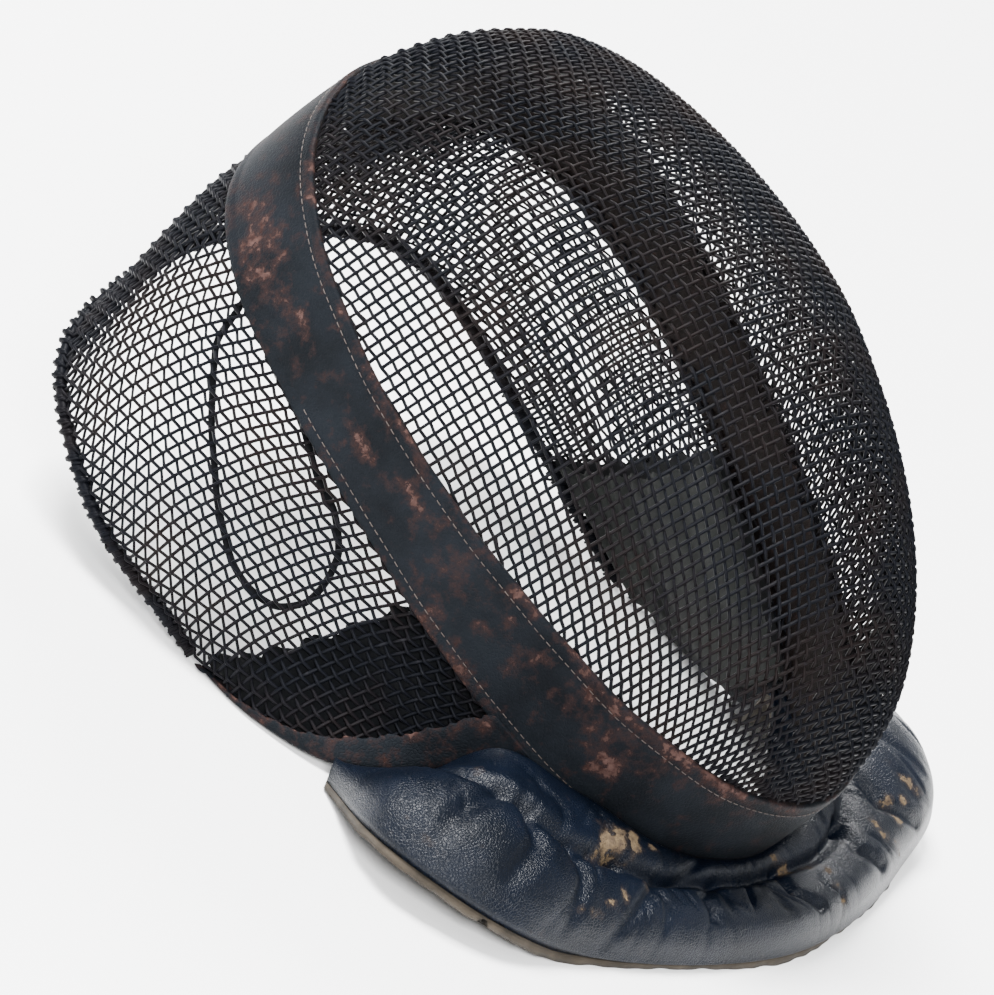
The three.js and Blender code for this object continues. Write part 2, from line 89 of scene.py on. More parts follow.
# Each half curve runs down the left side from the middle; the right half mirrors it.
REAR_EDGE = [
    (0, 54.4, 116.4),
    (62.3, 55.6, 108.5),
    (110, 74.7, 89.1),
    (125, 87.1, 39.5),
    (120.6, 88.2, -8),
    (121, 86.2, -24.3),
]
LOWER_EDGE = [
    (82.6, 33.4, -87.8),
    (95.5, 55.9, -77.8),
    (113.9, 69.7, -65.3),
    (121.6, 79.5, -45),
    (121, 86.2, -24.3),
]
BIB_RIM = [
    (0, 41.1, -179.5),
    (47, 42.7, -174.1),
    (93, 44.1, -160.7),
    (130, 39.8, -142.4),
    (145, 47.4, -106.7),
    (121, 67.5, -74),
]
BIB_SEAM = [
    (0, 44.5, -148),
    (37.3, 43.2, -139.6),
    (67.5, 39.5, -116.8),
    (85.5, 37.5, -95),
    (98.5, 58.5, -86),
    (114.5, 71.5, -71.5),
]
CORD_ROUTE = [
    (-104.5, 13.5, 60.5), (-106, 19.5, 58.5), (-108, 26.5, 56), (-110.5, 31, 50), (-113, 36.5, 41.5),
    (-115, 41.5, 33.5), (-116.5, 47.5, 22.5), (-118, 51.5, 14.5), (-118.5, 55, 6), (-119, 58, -3),
    (-118, 59, -11), (-115.5, 58.5, -17.5), (-113, 56.5, -22), (-109, 51.5, -25), (-107, 47.5, -25),
    (-105, 42.5, -23.5), (-103.5, 38, -21), (-102.5, 34, -17.5), (-102.5, 28.5, -8), (-103.5, 26, 3.5),
    (-104, 20.5, 18), (-105.5, 18, 28), (-106, 16, 41.5),
]
FACE_DEPTH = 92
FACE_AXIS_Z = -21.3
FACE_SWELL = (1.6, 2.5, 1.86)  # towards the crown, the sides and the chin
FACE_EDGE = (0.41, 1.28, 0.57)
BACK_BOW = [(0, 3), (0.25, 4), (0.5, 8), (0.75, 5), (1, 0)]
SIDES_MEET_BAND_AT = 139.5 / 360
PAD_TOP = {"right": (-47, -20), "left": (-10, 34)}
PAD_THICKNESS = 9
BIB_BACK = 3.0
LINING_WALL = 1.6
LINING_GAP = 0.6


# Curves and surfaces of the mask, in its own frame.
def catmull(points, closed=False):
    """A smooth curve through points, which gives a point for each parameter from 0 to 1."""
    rows = np.asarray(points, float)
    spans = len(rows) if closed else len(rows) - 1
    if closed:
        rows = np.concatenate([rows[-1:], rows, rows[:2]])
    else:
        rows = np.concatenate([2 * rows[:1] - rows[1:2], rows, 2 * rows[-1:] - rows[-2:-1]])

    def at(share):
        share = np.asarray(share, float)
        place = (share % 1.0 if closed else np.clip(share, 0, 1)) * spans
        i = np.minimum(place.astype(int), spans - 1)
        w = (place - i)[..., None]
        a, b, c, d = (rows[i + k] for k in range(4))
        return b + 0.5 * w * (c - a + w * (2 * a - 5 * b + 4 * c - d + w * (3 * (b - c) + d - a)))

    return at


def lengths(line):
    """How far along a line of points each of them lies."""
    return np.concatenate([[0], np.cumsum(np.linalg.norm(np.diff(line, axis=0), axis=1))])


def by_length(curve, samples=1601):
    """The same curve, taken by the share of its length."""
    t = np.linspace(0, 1, samples)
    reach = lengths(curve(t))
    return lambda share: curve(np.interp(share, reach / reach[-1], t))


def both_sides(rows):
    """A curve through a half's rows and their mirror image, taken by length from -1 (right) to 1 (left)."""
    left = np.asarray(rows, float)
    right = left[:0:-1] * (-1, 1, 1)
    curve = by_length(catmull(np.concatenate([right, left])))
    return lambda side: curve((np.asarray(side, float) + 1) / 2)


def band_loop(radius, y):
    """One edge of the band, taken in turns from the crown over the left side."""
    rows = np.asarray(BAND_STATIONS, float)
    angle = np.radians(rows[:, 0])
    left = np.stack([rows[:, radius] * np.sin(angle), rows[:, y], rows[:, radius] * np.cos(angle)], -1)
    return catmull(np.concatenate([left, left[-2:0:-1] * (-1, 1, 1)]), closed=True)


band_front = band_loop(1, 2)
band_rear = band_loop(3, 4)
rear_edge = both_sides(REAR_EDGE)
bib_rim = both_sides(BIB_RIM)
bib_seam = both_sides(BIB_SEAM)
lower_edge = by_length(catmull(LOWER_EDGE))


def lerp(a, b, share):
    return a + (b - a) * share


def unit(vectors):
    return vectors / np.maximum(np.linalg.norm(vectors, axis=-1, keepdims=True), 1e-9)


def smooth(value, low, high):
    t = np.clip((value - low) / (high - low), 0, 1)
    return t * t * (3 - 2 * t)


def world(points):
    """Points of the mask's own frame to where it rests, in metres."""
    x, y, z = np.moveaxis(np.asarray(points, float), -1, 0)
    sine, cosine = math.sin(LEAN), math.cos(LEAN)
    placed = [x, y * cosine + z * sine + REST_SHIFT, z * cosine - y * sine + REST_LIFT]
    return np.stack(placed, -1) * MM


def band_skin(u, v):
    """The band's outer surface: u from its front edge to its rear edge, v in turns from the crown."""
    return lerp(band_front(v), band_rear(v), np.asarray(u, float)[..., None])


def face_skin(r, v):
    """The face outside the wire: r from the nose to the band, v in turns from the crown."""
    edge = band_front(v)
    r = np.clip(r, 1e-6, 1)
    cosine = (edge[..., 2] - FACE_AXIS_Z) / np.hypot(edge[..., 0], edge[..., 2] - FACE_AXIS_Z)

    def by_side(crown, side, chin):
        return side + (crown - chin) / 2 * cosine + ((crown + chin) / 2 - side) * cosine**2

    depth = (1 - r ** by_side(*FACE_SWELL)) ** by_side(*FACE_EDGE)
    return np.stack(
        [edge[..., 0] * r, lerp(edge[..., 1], -FACE_DEPTH, depth), lerp(FACE_AXIS_Z, edge[..., 2], r)], -1
    )


def back_skin(u, v):
    """The crown and sides outside the wire: u from the band to the rear edge, v from -1, right, to 1."""
    u, v = np.broadcast_arrays(np.asarray(u, float), np.asarray(v, float))
    share = np.minimum(np.abs(v), 1)
    start, end = band_rear(share * SIDES_MEET_BAND_AT), rear_edge(share)
    ends = lower_edge(np.array([0.0, 1.0]))
    within = np.clip(u, 0, 1)
    dip = lower_edge(within) - lerp(ends[0], ends[1], within[..., None])
    bow = np.interp(share, *zip(*BACK_BOW)) * 4 * within * (1 - within)
    out = unit(start * (1, 0, 1))
    point = lerp(start, end, u[..., None]) + dip * (share**2)[..., None] + out * bow[..., None]
    return point * np.stack([np.where(v < 0, -1, 1), np.ones_like(u), np.ones_like(u)], -1)


def facing_out(points, across, along):
    """Unit normals to two directions, on the side away from the head."""
    normal = unit(np.cross(across, along))
    away = ((points - HEAD_MIDDLE) * normal).sum(-1, keepdims=True)
    return np.where(away < 0, -normal, normal)


def outward(surface, u, v, step=0.004):
    """The outward unit normal of a surface."""
    across = surface(u + step, v) - surface(u - step, v)
    along = surface(u, v + step) - surface(u, v - step)
    return facing_out(surface(u, v), across, along)


def table_normals(points):
    """The outward unit normals of a table of points."""
    return facing_out(points, *np.gradient(points, axis=(0, 1)))


# Woven wire.
class WireSheet:
    """A curved sheet in two coordinates, kept as a fine table of points and normals."""

    def __init__(self, place, a_range, b_range, cells):
        self.low = np.array([a_range[0], b_range[0]])
        self.cell = np.array([(a_range[1] - a_range[0]) / cells, (b_range[1] - b_range[0]) / cells])
        self.cells = cells
        a = np.linspace(*a_range, cells + 1)
        b = np.linspace(*b_range, cells + 1)
        self.points = place(*np.meshgrid(a, b, indexing="ij"))
        self.normals = table_normals(self.points)

    def look_up(self, table, a, b):
        at_a, at_b = (a - self.low[0]) / self.cell[0], (b - self.low[1]) / self.cell[1]
        out = ~((at_a >= 0) & (at_a <= self.cells) & (at_b >= 0) & (at_b <= self.cells))
        at_a, at_b = np.where(out, 0, at_a), np.where(out, 0, at_b)
        i, j = (np.minimum(x.astype(int), self.cells - 1) for x in (at_a, at_b))
        s, t = (at_a - i)[..., None], (at_b - j)[..., None]
        low = lerp(table[i, j], table[i + 1, j], s)
        high = lerp(table[i, j + 1], table[i + 1, j + 1], s)
        found = lerp(low, high, t)
        found[out] = np.nan
        return found

    def point(self, a, b):
        return self.look_up(self.points, a, b)

    def normal(self, a, b):
        return unit(self.look_up(self.normals, a, b))

    def meet(self, a, b, tests, rounds=9):
        """Moves each (a, b) until it meets both tests, which give a place's miss and its gradient."""
        near, longest = 0.25, 8 * self.cell
        for _ in range(rounds):
            here = self.point(a, b)
            along_a = (self.point(a + self.cell[0] * near, b) - here) / (self.cell[0] * near)
            along_b = (self.point(a, b + self.cell[1] * near) - here) / (self.cell[1] * near)
            (miss_1, slope_1), (miss_2, slope_2) = (test(here) for test in tests)
            a1, b1 = (slope_1 * along_a).sum(-1), (slope_1 * along_b).sum(-1)
            a2, b2 = (slope_2 * along_a).sum(-1), (slope_2 * along_b).sum(-1)
            whole = a1 * b2 - b1 * a2
            whole = np.where(np.abs(whole) < 1e-9, 1e-9, whole)
            a = a - np.clip((miss_1 * b2 - miss_2 * b1) / whole, -longest[0], longest[0])
            b = b - np.clip((a1 * miss_2 - a2 * miss_1) / whole, -longest[1], longest[1])
        return a, b


def one_pitch_from(point, pitch):
    """A test for WireSheet.meet: how far a place is from lying one pitch from a point."""

    def test(here):
        away = here - point
        far = np.maximum(np.linalg.norm(away, axis=-1), 1e-9)
        return far - pitch, away / far[..., None]

    return test


def on_level(axis, level):
    """A test for WireSheet.meet: how far a place is from one level along an axis."""

    def test(here):
        slope = np.zeros_like(here)
        slope[..., axis] = 1
        return here[..., axis] - level, slope

    return test


def walk(sheet, start, step, test, pitch, count):
    """Places a pitch apart along the sheet from start, each meeting a test too."""
    places = [np.array(start, float)]
    step = np.array(step, float)
    for _ in range(count):
        a, b = (places[-1] + step)[:, None]
        a, b = sheet.meet(a, b, [one_pitch_from(sheet.point(*places[-1][:, None]), pitch), test])
        places.append(np.array([a[0], b[0]]))
        if np.isnan(places[-1]).any():
            break
        step = places[-1] - places[-2]
    while len(places) <= count:
        places.append(np.array([np.nan, np.nan]))
    return np.array(places)


def fill_net(sheet, first_row, first_column, pitches):
    """The net's places from its first row and column: each lies a pitch from the two before it."""
    rows, columns = len(first_column), len(first_row)
    net = np.full((columns, rows, 2), np.nan)
    net[:, 0], net[0, :] = first_row, first_column
    for total in range(2, rows + columns - 1):
        i = np.arange(max(1, total - rows + 1), min(columns, total))
        j = total - i
        if not len(i):
            continue
        left, under, corner = net[i - 1, j], net[i, j - 1], net[i - 1, j - 1]
        guess = left + under - corner
        tests = [one_pitch_from(sheet.point(*p.T), pitch) for p, pitch in zip((left, under), pitches)]
        net[i, j] = np.stack(sheet.meet(guess[:, 0], guess[:, 1], tests), -1)
    return net


def spaced(sheet, a, b, pitch):
    """Places a pitch apart along a line of sheet coordinates."""
    reach = lengths(sheet.point(a, b))
    at = np.arange(0, reach[-1], pitch)
    return np.stack([np.interp(at, reach, a), np.interp(at, reach, b)], -1)


def blurred(table, rounds):
    """A table of points with each averaged with its four neighbours, edges kept."""
    for _ in range(rounds):
        middle = table[1:-1, 1:-1]
        around = table[:-2, 1:-1] + table[2:, 1:-1] + table[1:-1, :-2] + table[1:-1, 2:]
        table = table.copy()
        table[1:-1, 1:-1] = 0.5 * middle + 0.125 * around
    return table


def sunk(points, depth):
    """A table of points moved inwards along its normals."""
    return points - table_normals(points) * depth[..., None]


FACE_REACH = 1.045  # how far the face's wire runs, where the band's front edge is at 1
BACK_REACH = (-0.1, 0.985)  # and the crown's, with the band's rear edge at 0 and the rear edge at 1
NET_DEPTH = 0.75  # the middle of the wire cloth lies this far inside the skin
NET_DIP = 1.5  # and this much further in under the band, which it nears over FACE_DIP and BACK_DIP
FACE_DIP = (0.8, 1.0)
BACK_DIP = (0.0, 0.35)
SHEET_CELLS = 460
SHEET_BLUR = (3, 6)  # rounds of smoothing, before and after the sheet is sunk in
FACE_EASE = 0.7  # how far the face's table is crowded towards the band, where the skin is steepest
BAND_SHARE = 3.1  # the band's widths that go into one reach of the face
WING_SHARE = 2.0  # and into the length of a side
WING_END = 0.98  # beyond its lower edge a side runs straight on from here
SLIP = 0.2  # a crossing that strays this share of the pitch is left out, with the wire beyond it
# How the crimped wires of a net run: their height over the cloth's middle, half the flat on each crossing
# and how far they are pushed aside; and how far the straight ones lie the other way.
FACE_CRIMP, FACE_STRAIGHT = (0.85, 0.5, 0.16), 0.12
BACK_CRIMP, BACK_STRAIGHT = (0.9, 0.3, 0.3), 0.1


def face_table(p, q):
    reach, v = np.hypot(p, q), np.arctan2(p, q) / (2 * math.pi)
    within = np.minimum(reach, 1)
    inner = face_skin(lerp(within, np.sin(within * math.pi / 2), FACE_EASE), v)
    outer = band_skin((reach - 1) * BAND_SHARE, v)
    skin = np.where((reach > 1)[..., None], outer, inner)
    depth = NET_DEPTH + smooth(reach, *FACE_DIP) * NET_DIP
    return blurred(sunk(blurred(skin, SHEET_BLUR[0]), depth), SHEET_BLUR[1])


def back_table(u, v):
    held = np.clip(v, -1, 1)
    beyond = (np.abs(v) - 1).clip(0)[..., None]
    slope = (back_skin(u, held) - back_skin(u, held * WING_END)) / (1 - WING_END)
    wing = back_skin(u, held) + slope * beyond
    under = band_skin(1 + u * WING_SHARE, held * SIDES_MEET_BAND_AT) + slope * beyond
    skin = np.where((u < 0)[..., None], under, wing)
    depth = NET_DEPTH + (1 - smooth(u, *BACK_DIP)) * NET_DIP
    return blurred(sunk(blurred(skin, SHEET_BLUR[0]), depth), SHEET_BLUR[1])


def face_net(down_gap, across_gap):
    """The face's wire cloth: points, normals and which crossings are there, by column and row."""
    span = (-FACE_REACH - 0.04, FACE_REACH + 0.04)
    sheet = WireSheet(face_table, span, span, SHEET_CELLS)
    gaps = (down_gap, across_gap)
    row = walk(sheet, (0, 0), (down_gap / 110, 0), on_level(2, FACE_AXIS_Z), down_gap, 64)
    t = np.linspace(0, FACE_REACH + 0.03, 1200)
    up, down = spaced(sheet, 0 * t, t, across_gap), spaced(sheet, 0 * t, -t, across_gap)
    above, below = (fill_net(sheet, row, column, gaps) for column in (up, down))
    half = np.concatenate([below[:, :0:-1], above], axis=1)
    points, normals = sheet.point(*np.moveaxis(half, -1, 0)), sheet.normal(*np.moveaxis(half, -1, 0))
    there = (np.hypot(half[..., 0], half[..., 1]) < FACE_REACH) & sound(points, gaps, below.shape[1] - 1)
    return mirrored_net(points, normals, there, below.shape[1] - 1)


def back_net(row_gap, round_gap):
    """The crown's and sides' wire cloth, from the band back, in the same form as face_net."""
    sheet = WireSheet(back_table, (BACK_REACH[0] - 0.08, 1.4), (-1.05, 1.05), SHEET_CELLS)
    gaps = (row_gap, round_gap)
    v = np.linspace(0, 1.045, 1600)
    row = spaced(sheet, 0 * v, v, row_gap)
    back = np.linspace(0, 1.38, 800)
    fore = np.linspace(0, BACK_REACH[0] - 0.06, 300)
    rearwards = fill_net(sheet, row, spaced(sheet, back, 0 * back, round_gap), gaps)
    forwards = fill_net(sheet, row, spaced(sheet, fore, 0 * fore, round_gap), gaps)
    half = np.concatenate([forwards[:, :0:-1], rearwards], axis=1)
    points, normals = sheet.point(*np.moveaxis(half, -1, 0)), sheet.normal(*np.moveaxis(half, -1, 0))
    u, v = half[..., 0], half[..., 1]
    there = (u > BACK_REACH[0]) & (u < BACK_REACH[1]) & (np.abs(v) < 1)
    there &= sound(points, gaps, forwards.shape[1] - 1)
    return mirrored_net(points, normals, there, forwards.shape[1] - 1)


def sound(points, pitches, middle):
    """Which places of a net keep their pitch from the ones that they were found from, up and down from the
    middle row."""
    apart = np.linalg.norm(np.diff(points, axis=0, prepend=points[:1]), axis=-1)
    kept = np.abs(apart / pitches[0] - 1) < SLIP
    kept[0] = True
    for low, high, way in ((middle, points.shape[1], 1), (0, middle + 1, -1)):
        part = points[:, low:high][:, ::way]
        apart = np.linalg.norm(np.diff(part, axis=1, prepend=part[:, :1]), axis=-1)
        held = np.abs(apart / pitches[1] - 1) < SLIP
        held[:, 0] = True
        kept[:, low:high] &= np.logical_and.accumulate(held, axis=1)[:, ::way]
    return kept


def mirrored_net(points, normals, there, middle):
    """A whole net from its left half: column 0 is the middle plane, and row `middle` is the first row."""
    flip = np.array([-1, 1, 1])
    points[0, :, 0] = 0
    points = np.concatenate([points[:0:-1] * flip, points])
    normals = np.concatenate([normals[:0:-1] * flip, normals])
    there = np.concatenate([there[:0:-1], there]) & ~np.isnan(points).any(-1) & ~np.isnan(normals).any(-1)
    columns, rows = np.indices(there.shape)
    over = np.where((columns + rows + middle) % 2 == 0, 1.0, -1.0)
    return points, normals, there, over


def runs_of(there):
    """The stretches of true values, as slices, of two or more."""
    edges = np.flatnonzero(np.diff(np.concatenate([[0], there.astype(int), [0]])))
    return [slice(a, b) for a, b in zip(edges[::2], edges[1::2]) if b - a > 1]


def straight_wires(net, height):
    """The wires along a net's rows as lines, with a place for each crossing."""
    points, normals, there, over = net
    lines = []
    for j in range(there.shape[1]):
        for run in runs_of(there[:, j]):
            lines.append(points[run, j] - normals[run, j] * (height * over[run, j])[:, None])
    return lines


def crimped_wires(net, height, flat, aside):
    """The wires along its columns: each climbs over and under what it crosses, flat for a little way there,
    and is pushed a little aside as it does."""
    points, normals, there, over = net
    lines = []
    for i in range(there.shape[0]):
        for run in runs_of(there[i]):
            line, out, turn = points[i, run], normals[i, run], over[i, run][:, None]
            ahead = unit(np.gradient(line, axis=0))
            lifted = line + (out * height + np.cross(out, ahead) * aside) * turn
            lines.append(np.stack([lifted - ahead * flat, lifted + ahead * flat], axis=1).reshape(-1, 3))
    return lines


# Making pieces.
def only(piece):
    """Selects one object alone and makes it the active one."""
    bpy.ops.object.select_all(action="DESELECT")
    piece.select_set(True)
    bpy.context.view_layer.objects.active = piece


def round_curve(name, lines, diameter, corners):
    """Round wires, threads or cords, each along a line in the mask's frame, diameter in millimetres."""
    data = bpy.data.curves.new(name, "CURVE")
    data.dimensions = "3D"
    data.bevel_depth = diameter * MM / 2
    data.bevel_resolution = corners
    data.use_fill_caps = True
    for line in lines:
        spline = data.splines.new("POLY")
        spline.points.add(len(line) - 1)
        places = world(line)
        spline.points.foreach_set("co", np.c_[places, np.ones(len(places))].ravel())
    made = bpy.data.objects.new(name, data)
    bpy.context.collection.objects.link(made)
    return made


def wire_piece(name, lines, diameter, corners=0):
    """Many round wires or threads as one mesh."""
    only(round_curve(name, lines, diameter, corners))
    bpy.ops.object.convert(target="MESH")
    made = bpy.context.object
    made.name = name
    bpy.ops.object.shade_smooth()
    return made


def moved_grid(name, across, along, place, closed_ends=False, levels=0, marks=None):
    """A grid moved onto a surface: place(u, v) gives world places for u and v from 0 to 1. Edges that meet
    are joined, open ends are closed where asked, and marks are values kept at its points by name."""
    bpy.ops.object.select_all(action="DESELECT")
    bpy.ops.mesh.primitive_grid_add(x_subdivisions=across, y_subdivisions=along, size=1)
    made = bpy.context.object
    made.name = name
    mesh = made.data
    flat = np.empty(len(mesh.vertices) * 3)
    mesh.vertices.foreach_get("co", flat)
    u, v = flat.reshape(-1, 3)[:, 0] + 0.5, flat.reshape(-1, 3)[:, 1] + 0.5
    mesh.vertices.foreach_set("co", place(u, v).ravel())
    for mark, values in (marks or {}).items():
        mesh.attributes.new(mark, "FLOAT", "POINT").data.foreach_set("value", values(u, v))
    bpy.ops.object.mode_set(mode="EDIT")
    bpy.ops.mesh.select_all(action="SELECT")
    bpy.ops.mesh.remove_doubles(threshold=2e-6)
    if closed_ends:
        bpy.ops.mesh.select_all(action="DESELECT")
        bpy.ops.mesh.select_mode(type="EDGE")
        bpy.ops.mesh.select_non_manifold()
        bpy.ops.mesh.fill_holes(sides=0)
    bpy.ops.mesh.select_all(action="SELECT")
    bpy.ops.mesh.normals_make_consistent(inside=False)
    bpy.ops.object.mode_set(mode="OBJECT")
    if levels:
        finish_with(made, "SUBSURF", levels=levels, render_levels=levels)
    bpy.ops.object.shade_smooth()
    return made


def finish_with(piece, kind, **settings):
    """Adds a modifier with its settings and applies it."""
    only(piece)
    modifier = piece.modifiers.new(kind.title(), kind)
    for name, value in settings.items():
        setattr(modifier, name, value)
    bpy.ops.object.modifier_apply(modifier=modifier.name)


def wrapped(outline, ring):
    """A place function for moved_grid, from a closed outline of (share, height) taken by u and a ring(share,
    height, v) that puts it in the mask's frame."""
    shares, heights = np.array(outline + outline[:1], float).T
    turn = np.linspace(0, 1, len(shares))

    def place(u, v):
        return world(ring(np.interp(u, turn, shares), np.interp(u, turn, heights), v))

    return place


def waver(v, amount, turns=(3, 7, 13, 23), seed=0.0):
    """A slow, uneven wave of v from 0 to 1 that meets itself at the ends."""
    waves = [math.sin(1.7 * n + seed) * np.sin(2 * math.pi * n * v + 2.3 * n + seed) / (k + 1)
             for k, n in enumerate(turns)]
    return amount * sum(waves)


# Materials.
def srgb(code):
    """A linear colour with full alpha, from an sRGB hex code."""
    parts = [int(code[i : i + 2], 16) / 255 for i in (0, 2, 4)]
    return tuple(c / 12.92 if c <= 0.04045 else ((c + 0.055) / 1.055) ** 2.4 for c in parts) + (1.0,)


def fill(tree, socket, value):
    """Gives a socket another node's output, or a plain value."""
    if isinstance(value, bpy.types.NodeSocket):
        tree.links.new(value, socket)
    else:
        socket.default_value = value


def add(tree, kind, settings=None):
    """Adds one node with its settings and links: by a property's name, or by a socket's name or number, to a
    plain value or another node's output."""
    made = tree.nodes.new("ShaderNode" + kind)
    for key, value in (settings or {}).items():
        if isinstance(key, int) or key in made.inputs:
            fill(tree, made.inputs[key], value)
        else:
            setattr(made, key, value)
    return made


def new_material(name):
    """An empty node tree with the piece's own coordinates and a shader, and the node that ends it."""
    made = bpy.data.materials.new(name)
    made.use_nodes = True
    tree = made.node_tree
    tree.nodes.clear()
    places = add(tree, "TexCoord").outputs["Object"]
    shader = add(tree, "BsdfPrincipled")
    add(tree, "OutputMaterial", {"Surface": shader.outputs[0]})
    return made, tree, places, shader


def per(size):
    """The scale of a texture whose features are so many millimetres across, on coordinates in metres."""
    return 1 / (size * MM)


def noise(tree, places, size, detail, roughness=0.5):
    """Mottling from 0 to 1, its largest spots so many millimetres across."""
    settings = {"Scale": per(size), "Detail": detail, "Roughness": roughness, "Vector": places}
    return add(tree, "TexNoise", settings).outputs["Fac"]


def waves(tree, places, size, direction, **settings):
    """Stripes from 0 to 1, so many millimetres apart."""
    settings.update({"bands_direction": direction, "Scale": per(size) / 20, "Vector": places})
    return add(tree, "TexWave", settings).outputs["Fac"]


def stretch(tree, value, low, high, to_low=0.0, to_high=1.0):
    """A value from low to high taken to between two others, and held at them beyond."""
    ends = {"From Min": low, "From Max": high, "To Min": to_low, "To Max": to_high}
    return add(tree, "MapRange", {"Value": value, **ends}).outputs[0]


def blend(tree, share, first, second, way="MIX"):
    """One colour that goes over to another by a share."""
    settings = {"data_type": "RGBA", "blend_type": way, 0: share, 6: first, 7: second}
    return add(tree, "Mix", settings).outputs[2]


def arithmetic(tree, way, *values):
    """A sum, product or the like of values and other nodes' outputs."""
    return add(tree, "Math", {"operation": way, **dict(enumerate(values))}).outputs[0]


def mark_of(tree, name):
    """The values that a piece keeps at its points by that name."""
    return add(tree, "Attribute", {"attribute_name": name}).outputs["Fac"]


def give_look(tree, shader, color, roughness, shine, height, strength, deep):
    """Gives a shader its colour, roughness and shine, and a relief so many millimetres deep."""
    relief = add(tree, "Bump", {"Strength": strength, "Distance": deep * MM, "Height": height})
    looks = {"Base Color": color, "Roughness": roughness, "Specular IOR Level": shine}
    for name, value in {**looks, "Normal": relief.outputs[0]}.items():
        fill(tree, shader.inputs[name], value)


def dress(piece, material, slot, *nodes):
    """Gives a finished piece its material and body, and hides the CAD nodes that it stands for; the finish
    slot is not used.
    """
    piece.data.materials.clear()
    piece.data.materials.append(material)
    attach(piece, "root")
    if nodes:
        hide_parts(*nodes)
    return piece


def enamelled_wire():
    # Steel wire dipped in black enamel: almost no shine, bluish black, dulled brown where it has worn.
    made, tree, places, shader = new_material("enamelled_steel_wire")
    paint = bpy.context.scene.mask_wire
    tint = stretch(tree, noise(tree, places, 28, 3), 0.42, 0.66)
    worn = noise(tree, places, 2.2, 4, 0.7)
    enamel = blend(tree, tint, paint.enamel, paint.worn_enamel)
    color = blend(tree, stretch(tree, worn, 0.58, 0.74), enamel, paint.bare_wire)
    rough = stretch(tree, worn, 0, 1, 0.36, 0.6)
    give_look(tree, shader, color, rough, shine=0.04, height=worn, strength=0.35, deep=0.05)
    return made


def worn_hide(name, colors, within, wear, rubbed, gloss, grain, shine):
    """Dyed leather: its grain, slow changes of colour, bare brown hide where the mark `worn` lets it show,
    with rubbed dye about it, and the colour of its back where the mark `inside` is set."""
    made, tree, places, shader = new_material(name)
    dark, light, bare_dark, bare_light = colors
    dyed = blend(tree, stretch(tree, noise(tree, places, 22, 5, 0.6), 0.35, 0.68), dark, light)
    base = blend(tree, mark_of(tree, "inside"), dyed, within)
    reach = arithmetic(tree, "MULTIPLY_ADD", noise(tree, places, 6, 9, 0.7), 1.5, mark_of(tree, "worn"))
    bare = stretch(tree, reach, wear, wear + 0.04)
    faded = blend(tree, stretch(tree, reach, wear - 0.2, wear + 0.02, 0, rubbed), base, bare_dark)
    pale = stretch(tree, noise(tree, places, 2.5, 6), 0.35, 0.65)
    color = blend(tree, bare, faded, blend(tree, pale, bare_dark, bare_light))
    pores = add(tree, "TexVoronoi", {"feature": "DISTANCE_TO_EDGE", "Scale": per(grain), "Vector": places})
    crazing = stretch(tree, pores.outputs["Distance"], 0, 0.2)
    fine = noise(tree, places, 0.7, 6, 0.7)
    height = arithmetic(tree, "SUBTRACT", arithmetic(tree, "MULTIPLY_ADD", crazing, 0.6, fine), bare)
    dull = stretch(tree, fine, 0, 1, gloss, gloss + 0.2)
    rough = add(tree, "Mix", {"data_type": "FLOAT", 0: bare, 2: dull, 3: 0.85}).outputs[0]
    give_look(tree, shader, color, rough, shine, height, strength=0.8, deep=0.17)
    return made


def band_hide():
    # Vegetable-tanned leather under blue-black dye: matt, scuffed to rust brown, brown-black inside.
    hide = bpy.context.scene.mask_leather
    colors = (hide.band_dark, hide.band_light, hide.rust, hide.rust_light)
    inside = hide.band_inside
    return worn_hide(
        "dyed_band_leather", colors, inside, wear=1.03, rubbed=0.8, gloss=0.5, grain=1.3, shine=0.04
    )


def bib_hide():
    # Soft upholstery leather, finished glossy: deep navy with highlights, crazed, tan where it has peeled.
    hide = bpy.context.scene.mask_leather
    colors = (hide.bib_dark, hide.bib_light, hide.tan, hide.tan_light)
    return worn_hide(
        "glossy_bib_leather", colors, hide.bib_dark, wear=1.13, rubbed=0.3, gloss=0.2, grain=0.95, shine=0.13
    )


def woven_cloth(name, dark, light, backing, thread, roughness):
    """Plain-woven cloth: two sets of threads over each other, with slow stains, painted shade in the hollows
    of the weave and painted light on its threads, and another colour where the mark `backing` is set."""
    made, tree, places, shader = new_material(name)
    looseness = {"Distortion": 1.5, "Detail": 2, "Detail Scale": 3}
    warp, weft = (waves(tree, places, thread, way, **looseness) for way in ("X", "DIAGONAL"))
    weave = arithmetic(tree, "MAXIMUM", warp, weft)
    depth = arithmetic(tree, "MULTIPLY_ADD", weave, 0.5, noise(tree, places, 0.5, 5, 0.8))
    stains = stretch(tree, noise(tree, places, 14, 6, 0.65), 0.3, 0.72)
    color = blend(tree, mark_of(tree, "backing"), blend(tree, stains, dark, light), backing)
    # Painted shade and light: the colour is multiplied by the weave's relief, darker in the hollows between
    # the threads and lighter on their tops.
    color_with_painted_shade_and_light = blend(tree, 1.0, color, stretch(tree, depth, 0, 1.5, 0.72, 1.12), "MULTIPLY")
    give_look(tree, shader, color_with_painted_shade_and_light, roughness, shine=0.06, height=depth, strength=0.6, deep=0.15)
    shader.inputs["Sheen Weight"].default_value = 0.05
    shader.inputs["Sheen Roughness"].default_value = 0.6
    return made


def lining_canvas():
    # Unbleached cotton canvas, soiled with use: beige going grey, matt, its threads just to be seen.
    cloth = bpy.context.scene.mask_cloth
    dark, light = cloth.canvas_dark, cloth.canvas_light
    return woven_cloth("cotton_canvas", dark, light, dark, thread=0.9, roughness=0.95)


def pad_felt():
    # Grey wool felt under thin cotton: quite matt, with a soft edge to the light and a faint weave.
    cloth = bpy.context.scene.mask_cloth
    dark, light = cloth.felt_dark, cloth.felt_light
    return woven_cloth("wool_felt", dark, light, cloth.backing, thread=1.1, roughness=0.98)


